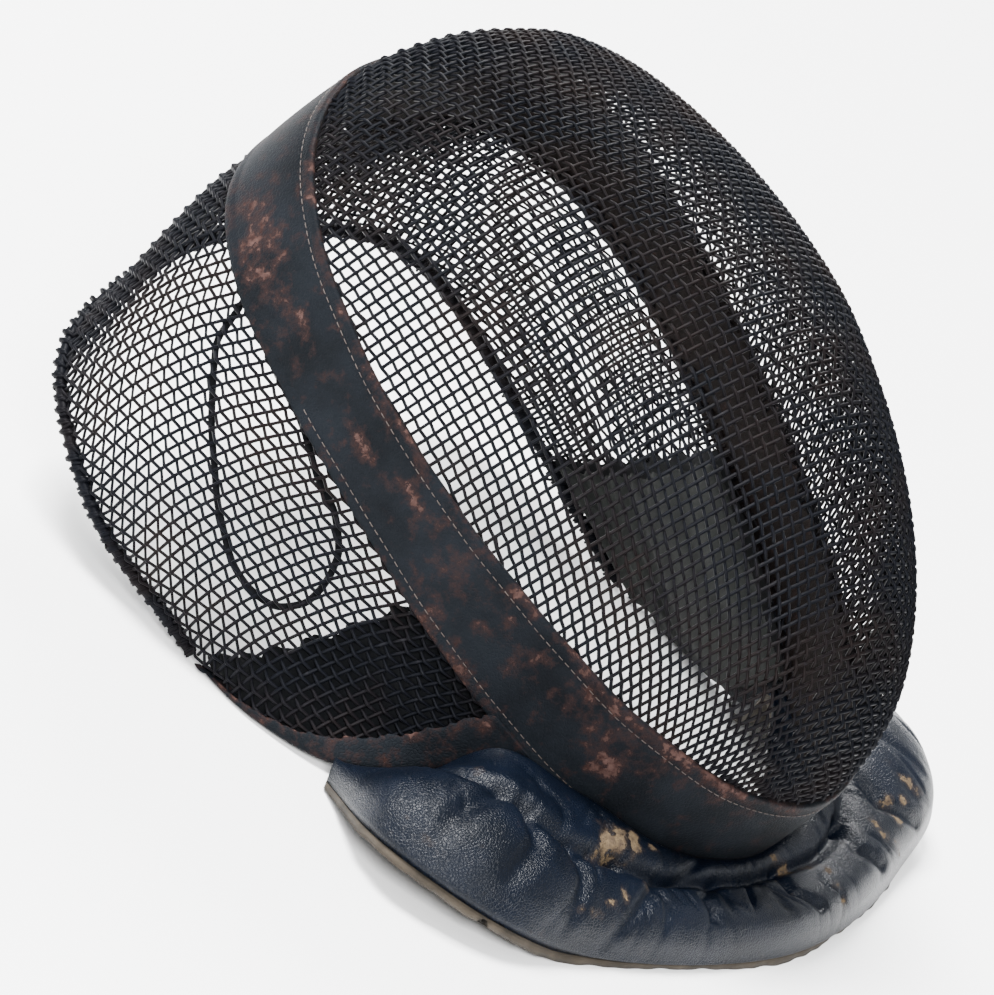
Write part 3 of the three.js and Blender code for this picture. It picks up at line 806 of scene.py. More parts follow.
def braided_cord():
    # Braided cotton cord dyed black: matt, ribbed crosswise by its plaits. The rib is drawn at 1.2 mm.
    made, tree, places, shader = new_material("braided_cotton_cord")
    cloth = bpy.context.scene.mask_cloth
    plait = waves(tree, places, 1.2, "Z", Distortion=2)
    color = blend(tree, noise(tree, places, 1.5, 4), cloth.cord_dark, cloth.cord_light)
    give_look(tree, shader, color, 0.8, shine=0.1, height=plait, strength=0.5, deep=0.15)
    return made


def linen_thread(name, pale, soiled):
    # Waxed linen thread: small pale dashes with a dull shine, soiled in places.
    made, tree, places, shader = new_material(name)
    dirt = stretch(tree, noise(tree, places, 9, 5), 0.4, 0.62)
    twist = noise(tree, places, 0.5, 3)
    color = blend(tree, dirt, pale, soiled)
    give_look(tree, shader, color, 0.6, shine=0.5, height=twist, strength=0.4, deep=0.05)
    return made


def color_of(name, code, description):
    return FloatVectorProperty(
        name=name, description=description, subtype="COLOR", size=4, min=0, max=1, default=srgb(code)
    )


def length_of(name, millimetres, description):
    return FloatProperty(
        name=name, description=description, unit="LENGTH", subtype="DISTANCE", min=0,
        default=millimetres * MM,
    )


class MaskWireSettings(bpy.types.PropertyGroup):
    """The woven wire of the face and the crown"""

    down_gap: length_of("Face columns", 3.4, "Distance between two wires that run down the face")
    across_gap: length_of("Face rows", 3.6, "Distance between two wires that run across the face")
    face_wire: length_of("Face wire", 1.18, "Diameter of the face's wire")
    row_gap: length_of("Side rows", 4.0, "Distance between two wires that run rearwards")
    round_gap: length_of("Side rounds", 2.9, "Distance between two wires that run beside the band")
    back_wire: length_of("Side wire", 1.2, "Diameter of the sides' wire")
    edge_wire: length_of("Edge wire", 3.6, "Diameter of the thick wire that the rear edge is rolled round")
    enamel: color_of("Enamel", "08090d", "Black enamel with its bluish gloss")
    worn_enamel: color_of("Worn enamel", "0f0b0b", "Enamel gone brown with wear")
    bare_wire: color_of("Bare wire", "1a1a1d", "Grey steel where the enamel is rubbed off")


class MaskLeatherSettings(bpy.types.PropertyGroup):
    """The leather of the band, the bindings and the bib"""

    stitch: length_of("Stitch", 2.8, "Distance between two stitches")
    thread: length_of("Thread", 0.3, "Diameter of the thread")
    band_dark: color_of("Band, dark", "07090c", "Dark dye of the band")
    band_light: color_of("Band, light", "0f1216", "Dye of the band where it is rubbed")
    band_inside: color_of("Band, inside", "120e0d", "The band's bare back, brown-black with sweat")
    rust: color_of("Rust brown", "231715", "Worn hide of the band")
    rust_light: color_of("Rust brown, light", "41302c", "Worn hide of the band where it is brightest")
    bib_dark: color_of("Bib, dark", "03060d", "Navy dye in the folds of the bib")
    bib_light: color_of("Bib, light", "060b15", "Navy dye on the rolls of the bib")
    tan: color_of("Tan", "382e25", "Peeled hide of the bib")
    tan_light: color_of("Tan, light", "584a37", "Peeled hide of the bib where it is palest")


class MaskClothSettings(bpy.types.PropertyGroup):
    """The canvas, the felt, the cord and the thread"""

    cord: length_of("Cord", 2.3, "Diameter of the cord loop")
    canvas_dark: color_of("Canvas, soiled", "1f1c18", "Soiled canvas")
    canvas_light: color_of("Canvas", "443d34", "Clean canvas")
    felt_dark: color_of("Felt, dark", "0e0f0f", "Felt in its hollows")
    felt_light: color_of("Felt", "1e201e", "Felt where it is rubbed")
    backing: color_of("Backing", "060709", "Black cloth on the pads' side towards the wire")
    cord_dark: color_of("Cord, dark", "07080a", "Dye of the cord")
    cord_light: color_of("Cord, dusty", "111215", "Dust on the cord")
    thread_pale: color_of("Thread", "3a312b", "Pale linen thread")
    thread_soiled: color_of("Thread, soiled", "291e19", "Linen thread gone brown")


class StageSettings(bpy.types.PropertyGroup):
    """The camera and the light"""

    lens: FloatProperty(
        name="Lens", description="Focal length of the camera", unit="CAMERA", min=20, default=184.13
    )
    floor: color_of("Floor", "fcfcfc", "Pale paper that the mask lies on")


# The camera's right, up and back in the mask's own frame, as a camera fitted to the photograph has them, and
# how far it stands along each.
CAMERA_AXES = (
    (0.5591, -0.6416, -0.5251),
    (0.0737, -0.5925, 0.8022),
    (-0.8258, -0.4872, -0.2839),
)
CAMERA_PLACE = (-22.45, -26.78, 1600)
FLOOR_SIZE = 24
SKY = (0.96, 0.98, 1.0, 1.0)
SKY_STRENGTH = 1.15
# The lamps: name, place, size and power.
STUDIO_LIGHTS = [
    ("key_light", (-0.5, 0.9, 2.2), 0.9, 280.0),
    ("side_light", (-2.0, -1.2, 1.6), 0.8, 150.0),
    ("back_light", (1.7, 1.3, 1.8), 0.8, 130.0),
]


def unit_world(direction):
    """A direction of the mask's frame, as it lies."""
    return Vector(world(direction) - world((0, 0, 0))).normalized()


class MASK_OT_stage(bpy.types.Operator):
    """Make the camera, the floor and the studio light"""

    bl_idname = "mask.stage"
    bl_label = "Stage"

    def execute(self, context):
        look = context.scene.mask_stage
        self.add_camera(context, look)
        self.add_floor(look)
        self.add_light(context)
        return {"FINISHED"}

    def add_camera(self, context, look):
        bpy.ops.object.camera_add()
        camera = context.object
        camera.name = "camera"
        camera.data.lens = look.lens
        camera.data.clip_end = 60
        turned = Matrix([unit_world(axis) for axis in CAMERA_AXES]).transposed()
        place = np.array(CAMERA_PLACE) @ np.array(CAMERA_AXES)
        camera.matrix_world = Matrix.Translation(Vector(world(place))) @ turned.to_4x4()
        context.scene.camera = camera

    def add_floor(self, look):
        bpy.ops.mesh.primitive_plane_add(size=FLOOR_SIZE)
        floor = bpy.context.object
        floor.name = "floor"
        # Uncoated pale paper: matt and even, with fibres that hardly show.
        made, tree, places, shader = new_material("pale_paper")
        shade = stretch(tree, noise(tree, places, 40, 4), 0, 1, 0.985, 1.0)
        color = blend(tree, 1.0, look.floor, shade, "MULTIPLY")
        for name, value in {"Base Color": color, "Roughness": 0.9, "Specular IOR Level": 0.1}.items():
            fill(tree, shader.inputs[name], value)
        floor.data.materials.append(made)

    def add_light(self, context):
        sky = bpy.data.worlds.new("studio")
        context.scene.world = sky
        sky.use_nodes = True
        background = sky.node_tree.nodes["Background"]
        background.inputs["Color"].default_value = SKY
        background.inputs["Strength"].default_value = SKY_STRENGTH
        for name, place, size, power in STUDIO_LIGHTS:
            bpy.ops.object.light_add(type="AREA", location=place)
            light = context.object
            light.name = name
            light.data.size = size
            light.data.energy = power
            light.rotation_euler = (-Vector(place)).to_track_quat("-Z", "Y").to_euler()


class MASK_OT_hanging_loop(bpy.types.Operator):
    """Make the cord loop beside the right temple"""

    bl_idname = "mask.hanging_loop"
    bl_label = "Cord loop"

    def execute(self, context):
        thick = context.scene.mask_cloth.cord
        route = catmull(CORD_ROUTE)(np.linspace(0, 1, 181))
        cord = round_curve("hanging_loop_cord", [route], thick / MM, 4)
        places = world(route)
        dress(cord, braided_cord(), "cord", "hanging_loop")
        return {"FINISHED"}


class MASK_OT_face_wires(bpy.types.Operator):
    """Weave the wire cloth of the face"""

    bl_idname = "mask.face_wires"
    bl_label = "Face wires"

    def execute(self, context):
        wire = context.scene.mask_wire
        net = face_net(wire.down_gap / MM, wire.across_gap / MM)
        enamel, thick = enamelled_wire(), wire.face_wire / MM
        for name, lines, corners in (
            ("face_wires_down", crimped_wires(net, *FACE_CRIMP), 0),
            ("face_wires_across", straight_wires(net, FACE_STRAIGHT), 1),
        ):
            dress(wire_piece(name, lines, thick, corners), enamel, "wire", "face_mesh")
        return {"FINISHED"}


class MASK_OT_back_wires(bpy.types.Operator):
    """Weave the wire cloth of the crown and the sides"""

    bl_idname = "mask.back_wires"
    bl_label = "Crown and side wires"

    def execute(self, context):
        wire = context.scene.mask_wire
        net = back_net(wire.row_gap / MM, wire.round_gap / MM)
        enamel = bpy.data.materials["enamelled_steel_wire"]
        turned = tuple(np.swapaxes(part, 0, 1) for part in net)
        thick = wire.back_wire / MM
        for name, lines, corners in (
            ("back_wires_round", crimped_wires(turned, *BACK_CRIMP), 0),
            ("back_wires_rearwards", straight_wires(turned, BACK_STRAIGHT), 1),
        ):
            dress(wire_piece(name, lines, thick, corners), enamel, "wire", "back_mesh")
        return {"FINISHED"}


EDGE_END = 0.965  # the rolled edge ends this share of the way down to the lower corners
EDGE_STEPS = 420
WRAP_STEPS = 10  # for each turn of the wire that is rolled round it
NEAT_SHARE = 0.6  # of the wire ends, this share is tucked away


class MASK_OT_rolled_edge(bpy.types.Operator):
    """Roll the rear edge of the wire cloth round its thick wire"""

    bl_idname = "mask.rolled_edge"
    bl_label = "Rolled rear edge"

    def execute(self, context):
        wire = context.scene.mask_wire
        enamel = bpy.data.materials["enamelled_steel_wire"]
        thick, thin = wire.edge_wire / MM, wire.back_wire / MM
        v, along = np.linspace(-EDGE_END, EDGE_END, EDGE_STEPS), np.linspace(0, 1, EDGE_STEPS)
        core = rear_edge(v)
        out = outward(back_skin, np.full_like(v, 0.97), v)
        ahead = unit(np.gradient(core, axis=0))
        aside = unit(np.cross(out, ahead))
        rear = np.where(aside[:, 1:2] < 0, -aside, aside)
        core = core - out * 0.6 + rear * waver(along, 0.2, (9, 17, 29))[:, None]
        turns = lengths(core)[-1] / (wire.row_gap / MM)
        t = np.linspace(0, 1, int(turns * WRAP_STEPS))
        middle, outs, rears = (
            np.stack([np.interp(t, along, axis) for axis in way.T], -1) for way in (core, out, rear)
        )
        angle = 2 * math.pi * turns * t + waver(t, 0.9, (31, 57, 83))
        swell = (thick / 2 + 0.35 * np.sin(angle * 0.37) ** 2)[:, None]
        wraps = middle + outs * (np.cos(angle)[:, None] * swell)
        wraps += rears * (np.sin(angle)[:, None] * swell * 1.08)
        for name, lines, diameter, corners in (
            ("core", [core], thick, 2),
            ("wraps", [wraps, wraps[::-1] + ahead[0] * 0.9], thin, 0),
            ("wire_ends", self.wire_ends(core, out, rear, ahead, turns), thin, 0),
        ):
            dress(wire_piece("rear_rim_" + name, lines, diameter, corners), enamel, "wire", "rear_rim")
        return {"FINISHED"}

    def wire_ends(self, core, out, rear, ahead, turns):
        """Loose ends of the cloth's wires that stick out of the roll, forwards and rearwards."""
        dice = np.random.default_rng(11)
        ends = []
        for k in range(int(turns)):
            i = int((k + 0.5 + 0.3 * (dice.random() - 0.5)) / turns * (len(core) - 1))
            for way in (1, -1):
                if dice.random() < NEAT_SHARE:
                    continue
                reach, tilt = way * (2.0 + 1.3 * dice.random() ** 2), dice.uniform(-0.5, 0.5)
                tip = core[i] + rear[i] * reach + ahead[i] * tilt * 2.2 + out[i] * tilt
                bend = core[i] + rear[i] * reach * 0.8 + out[i] * 1.4 + ahead[i] * tilt
                ends.append(np.array([core[i] + out[i] * 1.9, bend, tip]))
        return ends


# The section of the band from its front edge to its rear edge and back inside: share of the width, height.
BAND_SECTION = [
    (0.0, -1.2), (0.003, -0.5), (0.014, 0.05), (0.045, 0.28), (0.1, 0.28), (0.128, -0.05), (0.16, 0.2),
    (0.3, 0.42), (0.5, 0.5), (0.7, 0.42), (0.84, 0.2), (0.872, -0.05), (0.9, 0.25), (0.955, 0.25),
    (0.986, 0.05), (0.997, -0.5), (1.0, -1.2), (0.994, -2.1), (0.96, -2.4), (0.75, -2.4), (0.5, -2.4),
    (0.25, -2.4), (0.04, -2.4), (0.006, -2.1),
]
BAND_OUTSIDE = 17  # the rows of the section that show outside
BAND_STEPS = 320
BAND_WANDER = 0.012  # how far its edges stray, in shares of its width
# Its seams: share of the width, and where they start and end in turns.
BAND_SEAMS = ((0.128, 0.0, 1.0), (0.872, 0.22, 0.47), (0.872, 0.53, 0.78))

# Where the band is scuffed to brown: share of its width, turns from the crown over the left, reach across it
# and along it, and how deep.
BAND_SCUFFS = [
    (0.64, 0.863, 0.22, 0.02, 0.2), (0.58, 0.84, 0.2, 0.018, 0.2), (0.81, 0.837, 0.12, 0.012, 0.2),
    (0.6, 0.82, 0.14, 0.01, 0.16), (0.53, 0.80, 0.1, 0.01, 0.12), (0.59, 0.754, 0.12, 0.012, 0.24),
    (0.5, 0.744, 0.1, 0.01, 0.22), (0.36, 0.72, 0.14, 0.012, 0.2), (0.4, 0.691, 0.2, 0.02, 0.14),
    (0.37, 0.66, 0.22, 0.02, 0.13), (0.36, 0.634, 0.16, 0.012, 0.16), (0.57, 0.614, 0.1, 0.006, 0.16),
    (0.49, 0.585, 0.15, 0.009, 0.42), (0.2, 0.6, 0.16, 0.02, 0.18), (0.08, 0.56, 0.14, 0.02, 0.2),
    (0.93, 0.66, 0.1, 0.03, 0.2), (0.55, 0.3, 0.2, 0.03, 0.18), (0.4, 0.17, 0.2, 0.03, 0.18),
]


def band_place(share, height, v):
    """A point of the band at a share of its width and a height over its skin, its edges a little uneven."""
    fore, rear = waver(v, BAND_WANDER, seed=1.0), waver(v, BAND_WANDER, seed=4.0)
    share = share + lerp(fore, rear, share)
    height = height + waver(v, 0.25, (5, 9, 17), 2.0) * np.sin(math.pi * np.clip(share, 0, 1))
    out = outward(band_skin, np.full_like(v, 0.5), v)
    return band_skin(share, v) + out * height[..., None]


def stitches(line, out, spacing, length, lift=0.2, dip=0.5):
    """Short threads along a line of points: each comes up, lies on top and goes down again."""
    reach = lengths(line)
    made = []
    for start in np.arange(0, reach[-1] - length, spacing):
        at = start + np.array([0, 0.12, 0.5, 0.88, 1]) * length
        height = np.array([-dip, lift * 0.6, lift, lift * 0.6, -dip])[:, None]
        place = np.stack([np.interp(at, reach, line[:, k]) for k in range(3)], -1)
        away = np.stack([np.interp(at, reach, out[:, k]) for k in range(3)], -1)
        made.append(place + unit(away) * height)
    return made


def band_share(u):
    return np.interp(u * len(BAND_SECTION), np.arange(len(BAND_SECTION)), [row[0] for row in BAND_SECTION])


def band_wear(u, v):
    """How far the band is worn, over the grid of its section (u) and its turns (v)."""
    share = band_share(u)
    worn = 0.15 * np.exp(-((share / 0.1) ** 2)) + 0.08 * np.exp(-(((1 - share) / 0.06) ** 2))
    for at, turn, across, along, deep in BAND_SCUFFS:
        worn = worn + deep * np.exp(-(((share - at) / across) ** 2) - ((v - turn) / along) ** 2)
    return np.where(band_inside(u, v) > 0, 0, worn)


def band_inside(u, v):
    """1 on the band's side towards the head."""
    return (u * len(BAND_SECTION) > BAND_OUTSIDE).astype(float)


class MASK_OT_side_band(bpy.types.Operator):
    """Cut the leather band and stitch its edges"""

    bl_idname = "mask.side_band"
    bl_label = "Leather band"

    def execute(self, context):
        leather = context.scene.mask_leather
        cloth = context.scene.mask_cloth
        band = moved_grid(
            "side_band_leather", len(BAND_SECTION), BAND_STEPS, wrapped(BAND_SECTION, band_place), levels=1,
            marks={"worn": band_wear, "inside": band_inside},
        )
        dress(band, band_hide(), "band_leather", "side_band")
        seams = []
        for share, start, end in BAND_SEAMS:
            v = np.linspace(start, end, 1500)
            line = band_place(np.full_like(v, share), np.full_like(v, 0.0), v)
            out = outward(band_skin, np.full_like(v, 0.5), v)
            seams += stitches(line, out, leather.stitch / MM, leather.stitch / MM * 0.75)
        thread = wire_piece("side_band_stitches", seams, leather.thread / MM, 0)
        dress(thread, linen_thread("linen_thread", cloth.thread_pale, cloth.thread_soiled), "band_leather")
        return {"FINISHED"}


# The section of a binding round the wire's edge, from its outer leg's end: share of the leg, height.
BINDING_SECTION = [
    (1.0, 0.5), (0.9, 1.2), (0.5, 1.35), (0.15, 1.3), (-0.05, 1.0), (-0.22, 0.4), (-0.25, -0.4),
    (-0.2, -1.2), (-0.05, -2.2), (0.1, -2.6), (0.35, -2.6), (0.42, -2.1), (0.35, -1.5), (0.1, -1.45),
    (0.0, -1.3), (0.0, -0.4), (0.15, 0.1), (0.5, 0.15), (0.95, 0.1),
]
BINDING_STEPS = 110
BINDING_SPAN = (-0.04, 1.02)
BINDING_LEG = ((-0.04, 0.1, 0.5, 0.8, 1), (14.5, 13, 9.5, 6, 3.5))  # the outer leg by the way from the band
WIRE_MIDDLE = 0.45  # the wire cloth's middle under the skin, where a binding holds it


def binding_wear(u, v):
    """How far a binding is worn: most of all along the outer leg's end."""
    return 0.08 + 0.2 * np.exp(-((u / 0.05) ** 2))


class MASK_OT_lower_bindings(bpy.types.Operator):
    """Fold the leather bindings round the lower edges of the sides"""

    bl_idname = "mask.lower_bindings"
    bl_label = "Lower bindings"

    def execute(self, context):
        hide = bpy.data.materials["dyed_band_leather"]
        for name, side in (("right", -1), ("left", 1)):
            def ring(share, height, v, side=side):
                u = lerp(*BINDING_SPAN, v)
                leg = np.interp(u, *BINDING_LEG) + waver(v, 1.1, (9, 17, 29, 43, 71)) * (share > 0.7)
                out = outward(back_skin, np.clip(u, 0.01, 0.99), np.full_like(u, side * 0.97))
                edge = back_skin(u, np.full_like(u, side)) - out * WIRE_MIDDLE
                above = back_skin(u, np.full_like(u, side * 0.95)) - out * WIRE_MIDDLE - edge
                above = unit(above - out * (above * out).sum(-1, keepdims=True))
                return edge + above * (share * leg)[..., None] + out * height[..., None]

            node = "lower_binding_" + name
            piece = moved_grid(
                node + "_leather", len(BINDING_SECTION), BINDING_STEPS, wrapped(BINDING_SECTION, ring),
                closed_ends=True, levels=1, marks={"worn": binding_wear},
            )
            dress(piece, hide, "band_leather", node)
        return {"FINISHED"}


PAD_STEPS = (64, 90)
PAD_SPAN = (-0.05, 0.96)  # from under the band almost to the rear edge
PAD_BOTTOM = 0.99
PAD_DEPTH = 3.4  # from the skin to the pad's edge
PAD_TUCK = 2.2  # and this much further in under the band


def pad_tops(levels, side, samples):
    """Where the pad's upper edge lies round the head, at places evenly along it."""
    tops = []
    for share in np.linspace(0, 1, samples):
        line = np.linspace(0.4, 0.97, 240)
        heights = back_skin(np.full_like(line, lerp(*PAD_SPAN, share)), side * line)[:, 2]
        tops.append(np.interp(-lerp(*levels, share), -heights, line))
    return tops


def pad_backing(u, v):
    """1 on a pad's side towards the wire."""
    return (u < 0.5).astype(float)


class MASK_OT_inner_pads(bpy.types.Operator):
    """Fill the felt pads inside the lower corners"""

    bl_idname = "mask.inner_pads"
    bl_label = "Inner pads"

    def execute(self, context):
        felt = pad_felt()
        for name, side in (("right", -1), ("left", 1)):
            tops = pad_tops(PAD_TOP[name], side, 41)

            def place(u, v, side=side, tops=tops):
                along = lerp(*PAD_SPAN, v)
                high = np.interp(v, np.linspace(0, 1, len(tops)), tops)
                turn = u * 2 % 1
                down = np.where(u < 0.5, turn, 1 - turn)
                body = np.sin(math.pi * np.clip(down, 0, 1)) ** 0.55
                body = body * np.sin(math.pi * lerp(0.04, 0.96, v)) ** 0.35
                quilt = 1 + 0.06 * np.sin(9 * down + 3 * v) * np.cos(23 * v)
                quilt = quilt + 0.05 * np.sin(41 * v + 5 * down)
                deep = np.where(u < 0.5, -0.1 - 1.4 * body, PAD_THICKNESS * body * quilt)
                deep = PAD_DEPTH + deep + PAD_TUCK * (1 - smooth(along, 0.0, 0.2))
                frayed = 0.008 * waver(v, 1.0, (7, 19, 37, 53, 71)) * (1 - down)
                share = side * lerp(high + frayed, PAD_BOTTOM, down)
                return world(back_skin(along, share) - outward(back_skin, along, share) * deep[..., None])

            node = "inner_pad_" + name
            pad = moved_grid(
                node + "_felt", *PAD_STEPS, place, closed_ends=True, levels=1, marks={"backing": pad_backing}
            )
            dress(pad, felt, "felt", node)
        return {"FINISHED"}


# The bib across its width, from where it is tucked under the band to its rim: share, height over its back.
BIB_PROFILE = [
    (-0.12, 9), (-0.03, 12.6), (0.05, 14.2), (0.13, 14.4), (0.25, 14), (0.4, 14), (0.6, 15), (0.76, 14),
    (0.88, 10.5), (0.96, 5.5), (1, 2.5),
]
BIB_TUCK = -0.12
BIB_STEPS, LINING_STEPS = (150, 620), (96, 420)
BIB_TOP = 0.75  # the share of its grid that lies on top; the rest goes back underneath
BIB_WRINKLES = 110
BIB_LEAST = 1.6  # its thickness where it is thinnest
BIB_ENDS = (0.5, 0.25)  # its height at either end, and how far from there it is lower
# Beside the sides of the mask it is pressed down: from where to where along it, how far across and how much.
BIB_PRESSED = (0.42, 0.72, 0.24, 0.72)
RIM_OVERHANG, RIM_WAVER = 1.0, 0.8  # how far the canvas shows beyond the leather, in millimetres
# The deep creases between its rolls: share and place along it, then depth and half width in millimetres.
BIB_CREASES = [
    ([(0.1, -0.86), (0.23, -0.79), (0.32, -0.71), (0.36, -0.64), (0.42, -0.53), (0.35, -0.41)], 4.0, 3.0),
    ([(0.35, -0.41), (0.31, -0.26), (0.24, -0.14), (0.22, 0.06), (0.32, 0.2), (0.34, 0.34)], 4.2, 3.0),
    ([(0.34, 0.34), (0.22, 0.5), (0.3, 0.66), (0.2, 0.8)], 3.5, 4.0),
    ([(0.93, -0.41), (0.7, -0.37), (0.4, -0.32), (0.28, -0.25), (0.0, -0.16)], 2.0, 2.2),
    ([(0.9, -0.5), (0.62, -0.5), (0.42, -0.53)], 2.4, 2.6),
    ([(0.85, -0.62), (0.6, -0.6), (0.38, -0.62)], 3.0, 2.6),
    ([(0.9, -0.72), (0.66, -0.7), (0.36, -0.66)], 2.4, 2.4),
    ([(0.05, -0.62), (0.2, -0.55), (0.36, -0.55)], 0.9, 2.0),
    ([(0.0, -0.48), (0.15, -0.44), (0.3, -0.44)], 0.8, 2.0),
    ([(0.24, -0.14), (0.45, -0.2), (0.7, -0.2)], 2.0, 2.4),
    ([(0.22, 0.06), (0.5, 0.04), (0.75, 0.08)], 2.4, 2.2),
    ([(0.34, 0.34), (0.55, 0.3), (0.8, 0.33)], 2.6, 2.6),
    ([(0.3, 0.5), (0.55, 0.46), (0.85, 0.5)], 2.4, 2.4),
]
BIB_WIDTH, BIB_LENGTH = 46, 165  # about, its width and the way from its middle to either end
# Where its finish has peeled to tan: share, place along it, reach across and along, and how deep.
BIB_PEELINGS = [
    (0.25, -0.443, 0.1, 0.022, 0.66), (0.17, -0.41, 0.08, 0.024, 0.64), (0.14, -0.37, 0.1, 0.016, 0.6),
    (0.1, -0.32, 0.03, 0.02, 0.4), (0.06, -0.25, 0.03, 0.022, 0.36), (0.81, -0.46, 0.03, 0.02, 0.36),
    (0.72, -0.43, 0.04, 0.016, 0.38), (0.64, -0.405, 0.06, 0.012, 0.46), (0.45, -0.345, 0.06, 0.012, 0.4),
    (0.11, 0.068, 0.05, 0.012, 0.4), (0.26, 0.1, 0.07, 0.02, 0.42), (0.36, 0.16, 0.06, 0.022, 0.46),
    (0.48, 0.176, 0.07, 0.018, 0.46), (0.64, 0.155, 0.07, 0.014, 0.42), (0.79, 0.15, 0.05, 0.01, 0.42),
    (0.54, 0.4, 0.07, 0.012, 0.4), (0.66, 0.39, 0.07, 0.014, 0.42), (0.82, 0.405, 0.08, 0.012, 0.4),
    (0.58, 0.48, 0.05, 0.018, 0.4), (0.68, 0.51, 0.05, 0.014, 0.4), (0.7, 0.46, 0.07, 0.014, 0.4),
    (0.63, 0.556, 0.05, 0.01, 0.4), (0.7, 0.55, 0.06, 0.01, 0.4), (0.24, -0.703, 0.03, 0.012, 0.34),
    (0.91, -0.727, 0.02, 0.016, 0.34), (0.5, 0.7, 0.1, 0.02, 0.36), (0.3, 0.85, 0.08, 0.015, 0.36),
]


def bib_frame(v):
    """The bib's seam, the way across to its rim and its outward normal, at v from -1 (right) to 1 (left)."""
    seam, across = bib_seam(v), bib_rim(v) - bib_seam(v)
    later, sooner = np.minimum(v + 0.01, 1), np.maximum(v - 0.01, -1)
    along = bib_seam(later) - bib_seam(sooner) + bib_rim(later) - bib_rim(sooner)
    return seam, across, unit(np.cross(across, along))


def bib_point(share, height, v):
    seam, across, out = bib_frame(v)
    width = np.linalg.norm(across, axis=-1)
    reach = np.where(share > 1, 1 + (share - 1) / width, share)
    return seam + across * reach[..., None] + out * height[..., None]


def over_floor(places, least):
    """World places pressed up to at least that far over the floor, in millimetres, with a soft turn."""
    spare = places[..., 2] / MM - least
    soft = np.where(spare > 2, spare, np.where(spare < -2, 0, (spare + 2) ** 2 / 8))
    places = places.copy()
    places[..., 2] = (soft + least) * MM
    return places


def from_line(share, v, line):
    """How far, in millimetres, places on the bib lie from a line of (share, place along it) on it."""
    places = np.stack([share * BIB_WIDTH, v * BIB_LENGTH], -1)
    knots = np.array(line) * (BIB_WIDTH, BIB_LENGTH)
    least = np.full(share.shape, np.inf)
    for start, end in zip(knots[:-1], knots[1:]):
        along = end - start
        t = np.clip(((places - start) @ along) / (along @ along), 0, 1)
        least = np.minimum(least, np.linalg.norm(places - start - t[..., None] * along, axis=-1))
    return least


def bib_height(share, v):
    """The padded leather over the bib's back, with its rolls, the creases between them and its wrinkles."""
    curve = catmull(BIB_PROFILE)(np.linspace(0, 1, 300))
    height = np.interp(share, curve[:, 0], curve[:, 1])
    low_end, from_end = BIB_ENDS
    start, end, across, much = BIB_PRESSED
    height = height * lerp(low_end, 1, smooth(1 - np.abs(v), 0, from_end))
    height = height * (1 - much * smooth(np.abs(v), start, end) * np.exp(-((share / across) ** 2)))
    puff = np.sin(math.pi * np.clip(lerp(0.1, 1, share), 0, 1)) ** 0.6
    for line, deep, wide in BIB_CREASES:
        height = height - deep * np.exp(-((from_line(share, v, line) / wide) ** 2)) * puff
    dice = np.random.default_rng(5)
    for _ in range(BIB_WRINKLES):
        at, lean = dice.uniform(-1, 1), dice.uniform(-0.14, 0.14)
        wide, deep = dice.uniform(0.004, 0.012), dice.uniform(0.15, 0.8)
        low, reach = dice.uniform(0, 0.8), dice.uniform(0.15, 0.45)
        within = smooth(share, low - 0.08, low + 0.08)
        within = within * (1 - smooth(share, low + reach - 0.1, low + reach + 0.1))
        height = height - deep * np.exp(-(((v - at - lean * (share - 0.5)) / wide) ** 2)) * within * puff
    return np.maximum(height, BIB_LEAST) - BIB_BACK


def bib_share(u):
    """The share of the bib's width for u over its grid: out over the top, then back underneath."""
    under = (u - BIB_TOP) / (1 - BIB_TOP)
    return np.where(u < BIB_TOP, lerp(BIB_TUCK, 1, u / BIB_TOP), lerp(1, BIB_TUCK, under))


def bib_peeled(u, v):
    """How far the bib's finish has peeled, over its grid."""
    share, along = bib_share(u), 2 * v - 1
    peeled = 0.06 * smooth(share, 0.93, 0.98)
    for at, place, across, reach, deep in BIB_PEELINGS:
        spot = deep * np.exp(-(((share - at) / across) ** 2) - ((along - place) / reach) ** 2) ** 0.6
        peeled = np.maximum(peeled, spot)
    return np.where(u < BIB_TOP, peeled, 0)


class MASK_OT_bib(bpy.types.Operator):
    """Stuff and crease the padded leather bib"""

    bl_idname = "mask.bib"
    bl_label = "Padded bib"

    def execute(self, context):
        def place(u, v):
            share, along = bib_share(u), 2 * v - 1
            height = np.where(u < BIB_TOP, bib_height(share, along), -BIB_BACK + 0.1)
            return over_floor(world(bib_point(share, height, along)), LINING_WALL + LINING_GAP)

        bib = moved_grid(
            "bib_padded_leather", *BIB_STEPS, place, closed_ends=True, marks={"worn": bib_peeled}
        )
        dress(bib, bib_hide(), "bib_leather", "bib")
        return {"FINISHED"}


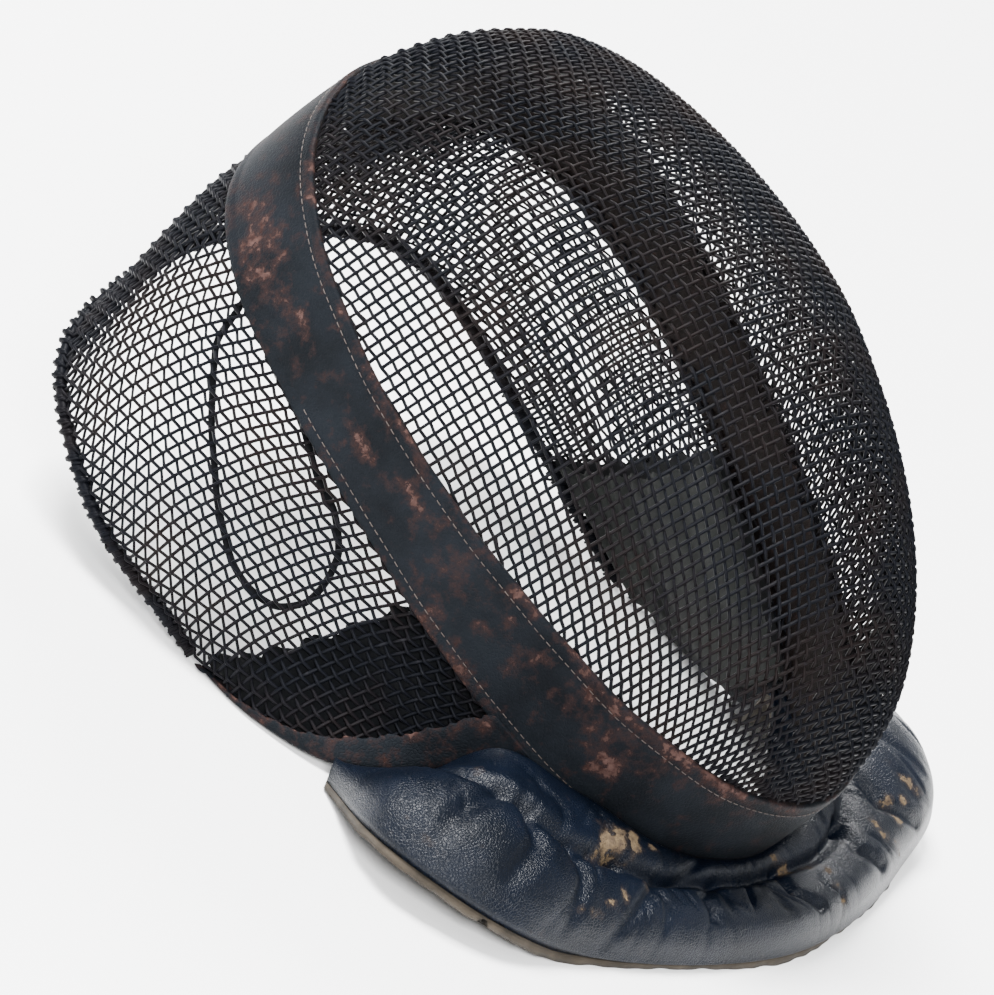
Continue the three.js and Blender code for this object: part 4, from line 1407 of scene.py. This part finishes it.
class MASK_OT_bib_lining(bpy.types.Operator):
    """Sew the canvas lining under the bib"""

    bl_idname = "mask.bib_lining"
    bl_label = "Bib lining"

    def execute(self, context):
        def place(u, v):
            along = 2 * v - 1
            share = np.where(u < 0.5, u * 2, (1 - u) * 2)
            rim = 1 + RIM_OVERHANG + waver(v, RIM_WAVER, (5, 11, 19, 29, 47))
            share = np.where(share > 0.98, rim, lerp(BIB_TUCK, 1, share / 0.98))
            height = np.where(u < 0.5, -BIB_BACK - 0.25, -BIB_BACK - LINING_GAP - LINING_WALL)
            least = np.where(u < 0.5, LINING_WALL + 0.3, 0)
            return over_floor(world(bib_point(share, height, along)), least)

        lining = moved_grid("bib_lining_canvas", *LINING_STEPS, place, closed_ends=True)
        dress(lining, lining_canvas(), "canvas", "bib_lining")
        return {"FINISHED"}


class MASK_PT_panel(bpy.types.Panel):
    """The pieces of the mask, in the order that they are made"""

    bl_idname = "MASK_PT_panel"
    bl_label = "Fencing mask"
    bl_space_type = "VIEW_3D"
    bl_region_type = "UI"
    bl_category = "Mask"

    def draw(self, context):
        for piece in OPERATORS:
            self.layout.operator(piece.bl_idname)
        for settings in SETTINGS:
            group = getattr(context.scene, settings)
            for name in group.bl_rna.properties.keys():
                if name not in ("rna_type", "name"):
                    self.layout.prop(group, name)


OPERATORS = (
    MASK_OT_stage,
    MASK_OT_hanging_loop,
    MASK_OT_face_wires,
    MASK_OT_back_wires,
    MASK_OT_rolled_edge,
    MASK_OT_side_band,
    MASK_OT_lower_bindings,
    MASK_OT_inner_pads,
    MASK_OT_bib,
    MASK_OT_bib_lining,
)
SETTINGS = {
    "mask_wire": MaskWireSettings,
    "mask_leather": MaskLeatherSettings,
    "mask_cloth": MaskClothSettings,
    "mask_stage": StageSettings,
}


def register():
    for settings in SETTINGS.values():
        bpy.utils.register_class(settings)
    for piece in OPERATORS:
        bpy.utils.register_class(piece)
    bpy.utils.register_class(MASK_PT_panel)
    for name, settings in SETTINGS.items():
        setattr(bpy.types.Scene, name, PointerProperty(type=settings))


def unregister():
    for name in SETTINGS:
        delattr(bpy.types.Scene, name)
    bpy.utils.unregister_class(MASK_PT_panel)
    for piece in reversed(OPERATORS):
        bpy.utils.unregister_class(piece)
    for settings in SETTINGS.values():
        bpy.utils.unregister_class(settings)


def main():
    register()
    for piece in OPERATORS:
        group, name = piece.bl_idname.split(".")
        getattr(getattr(bpy.ops, group), name)()


if __name__ == "__main__":
    main()
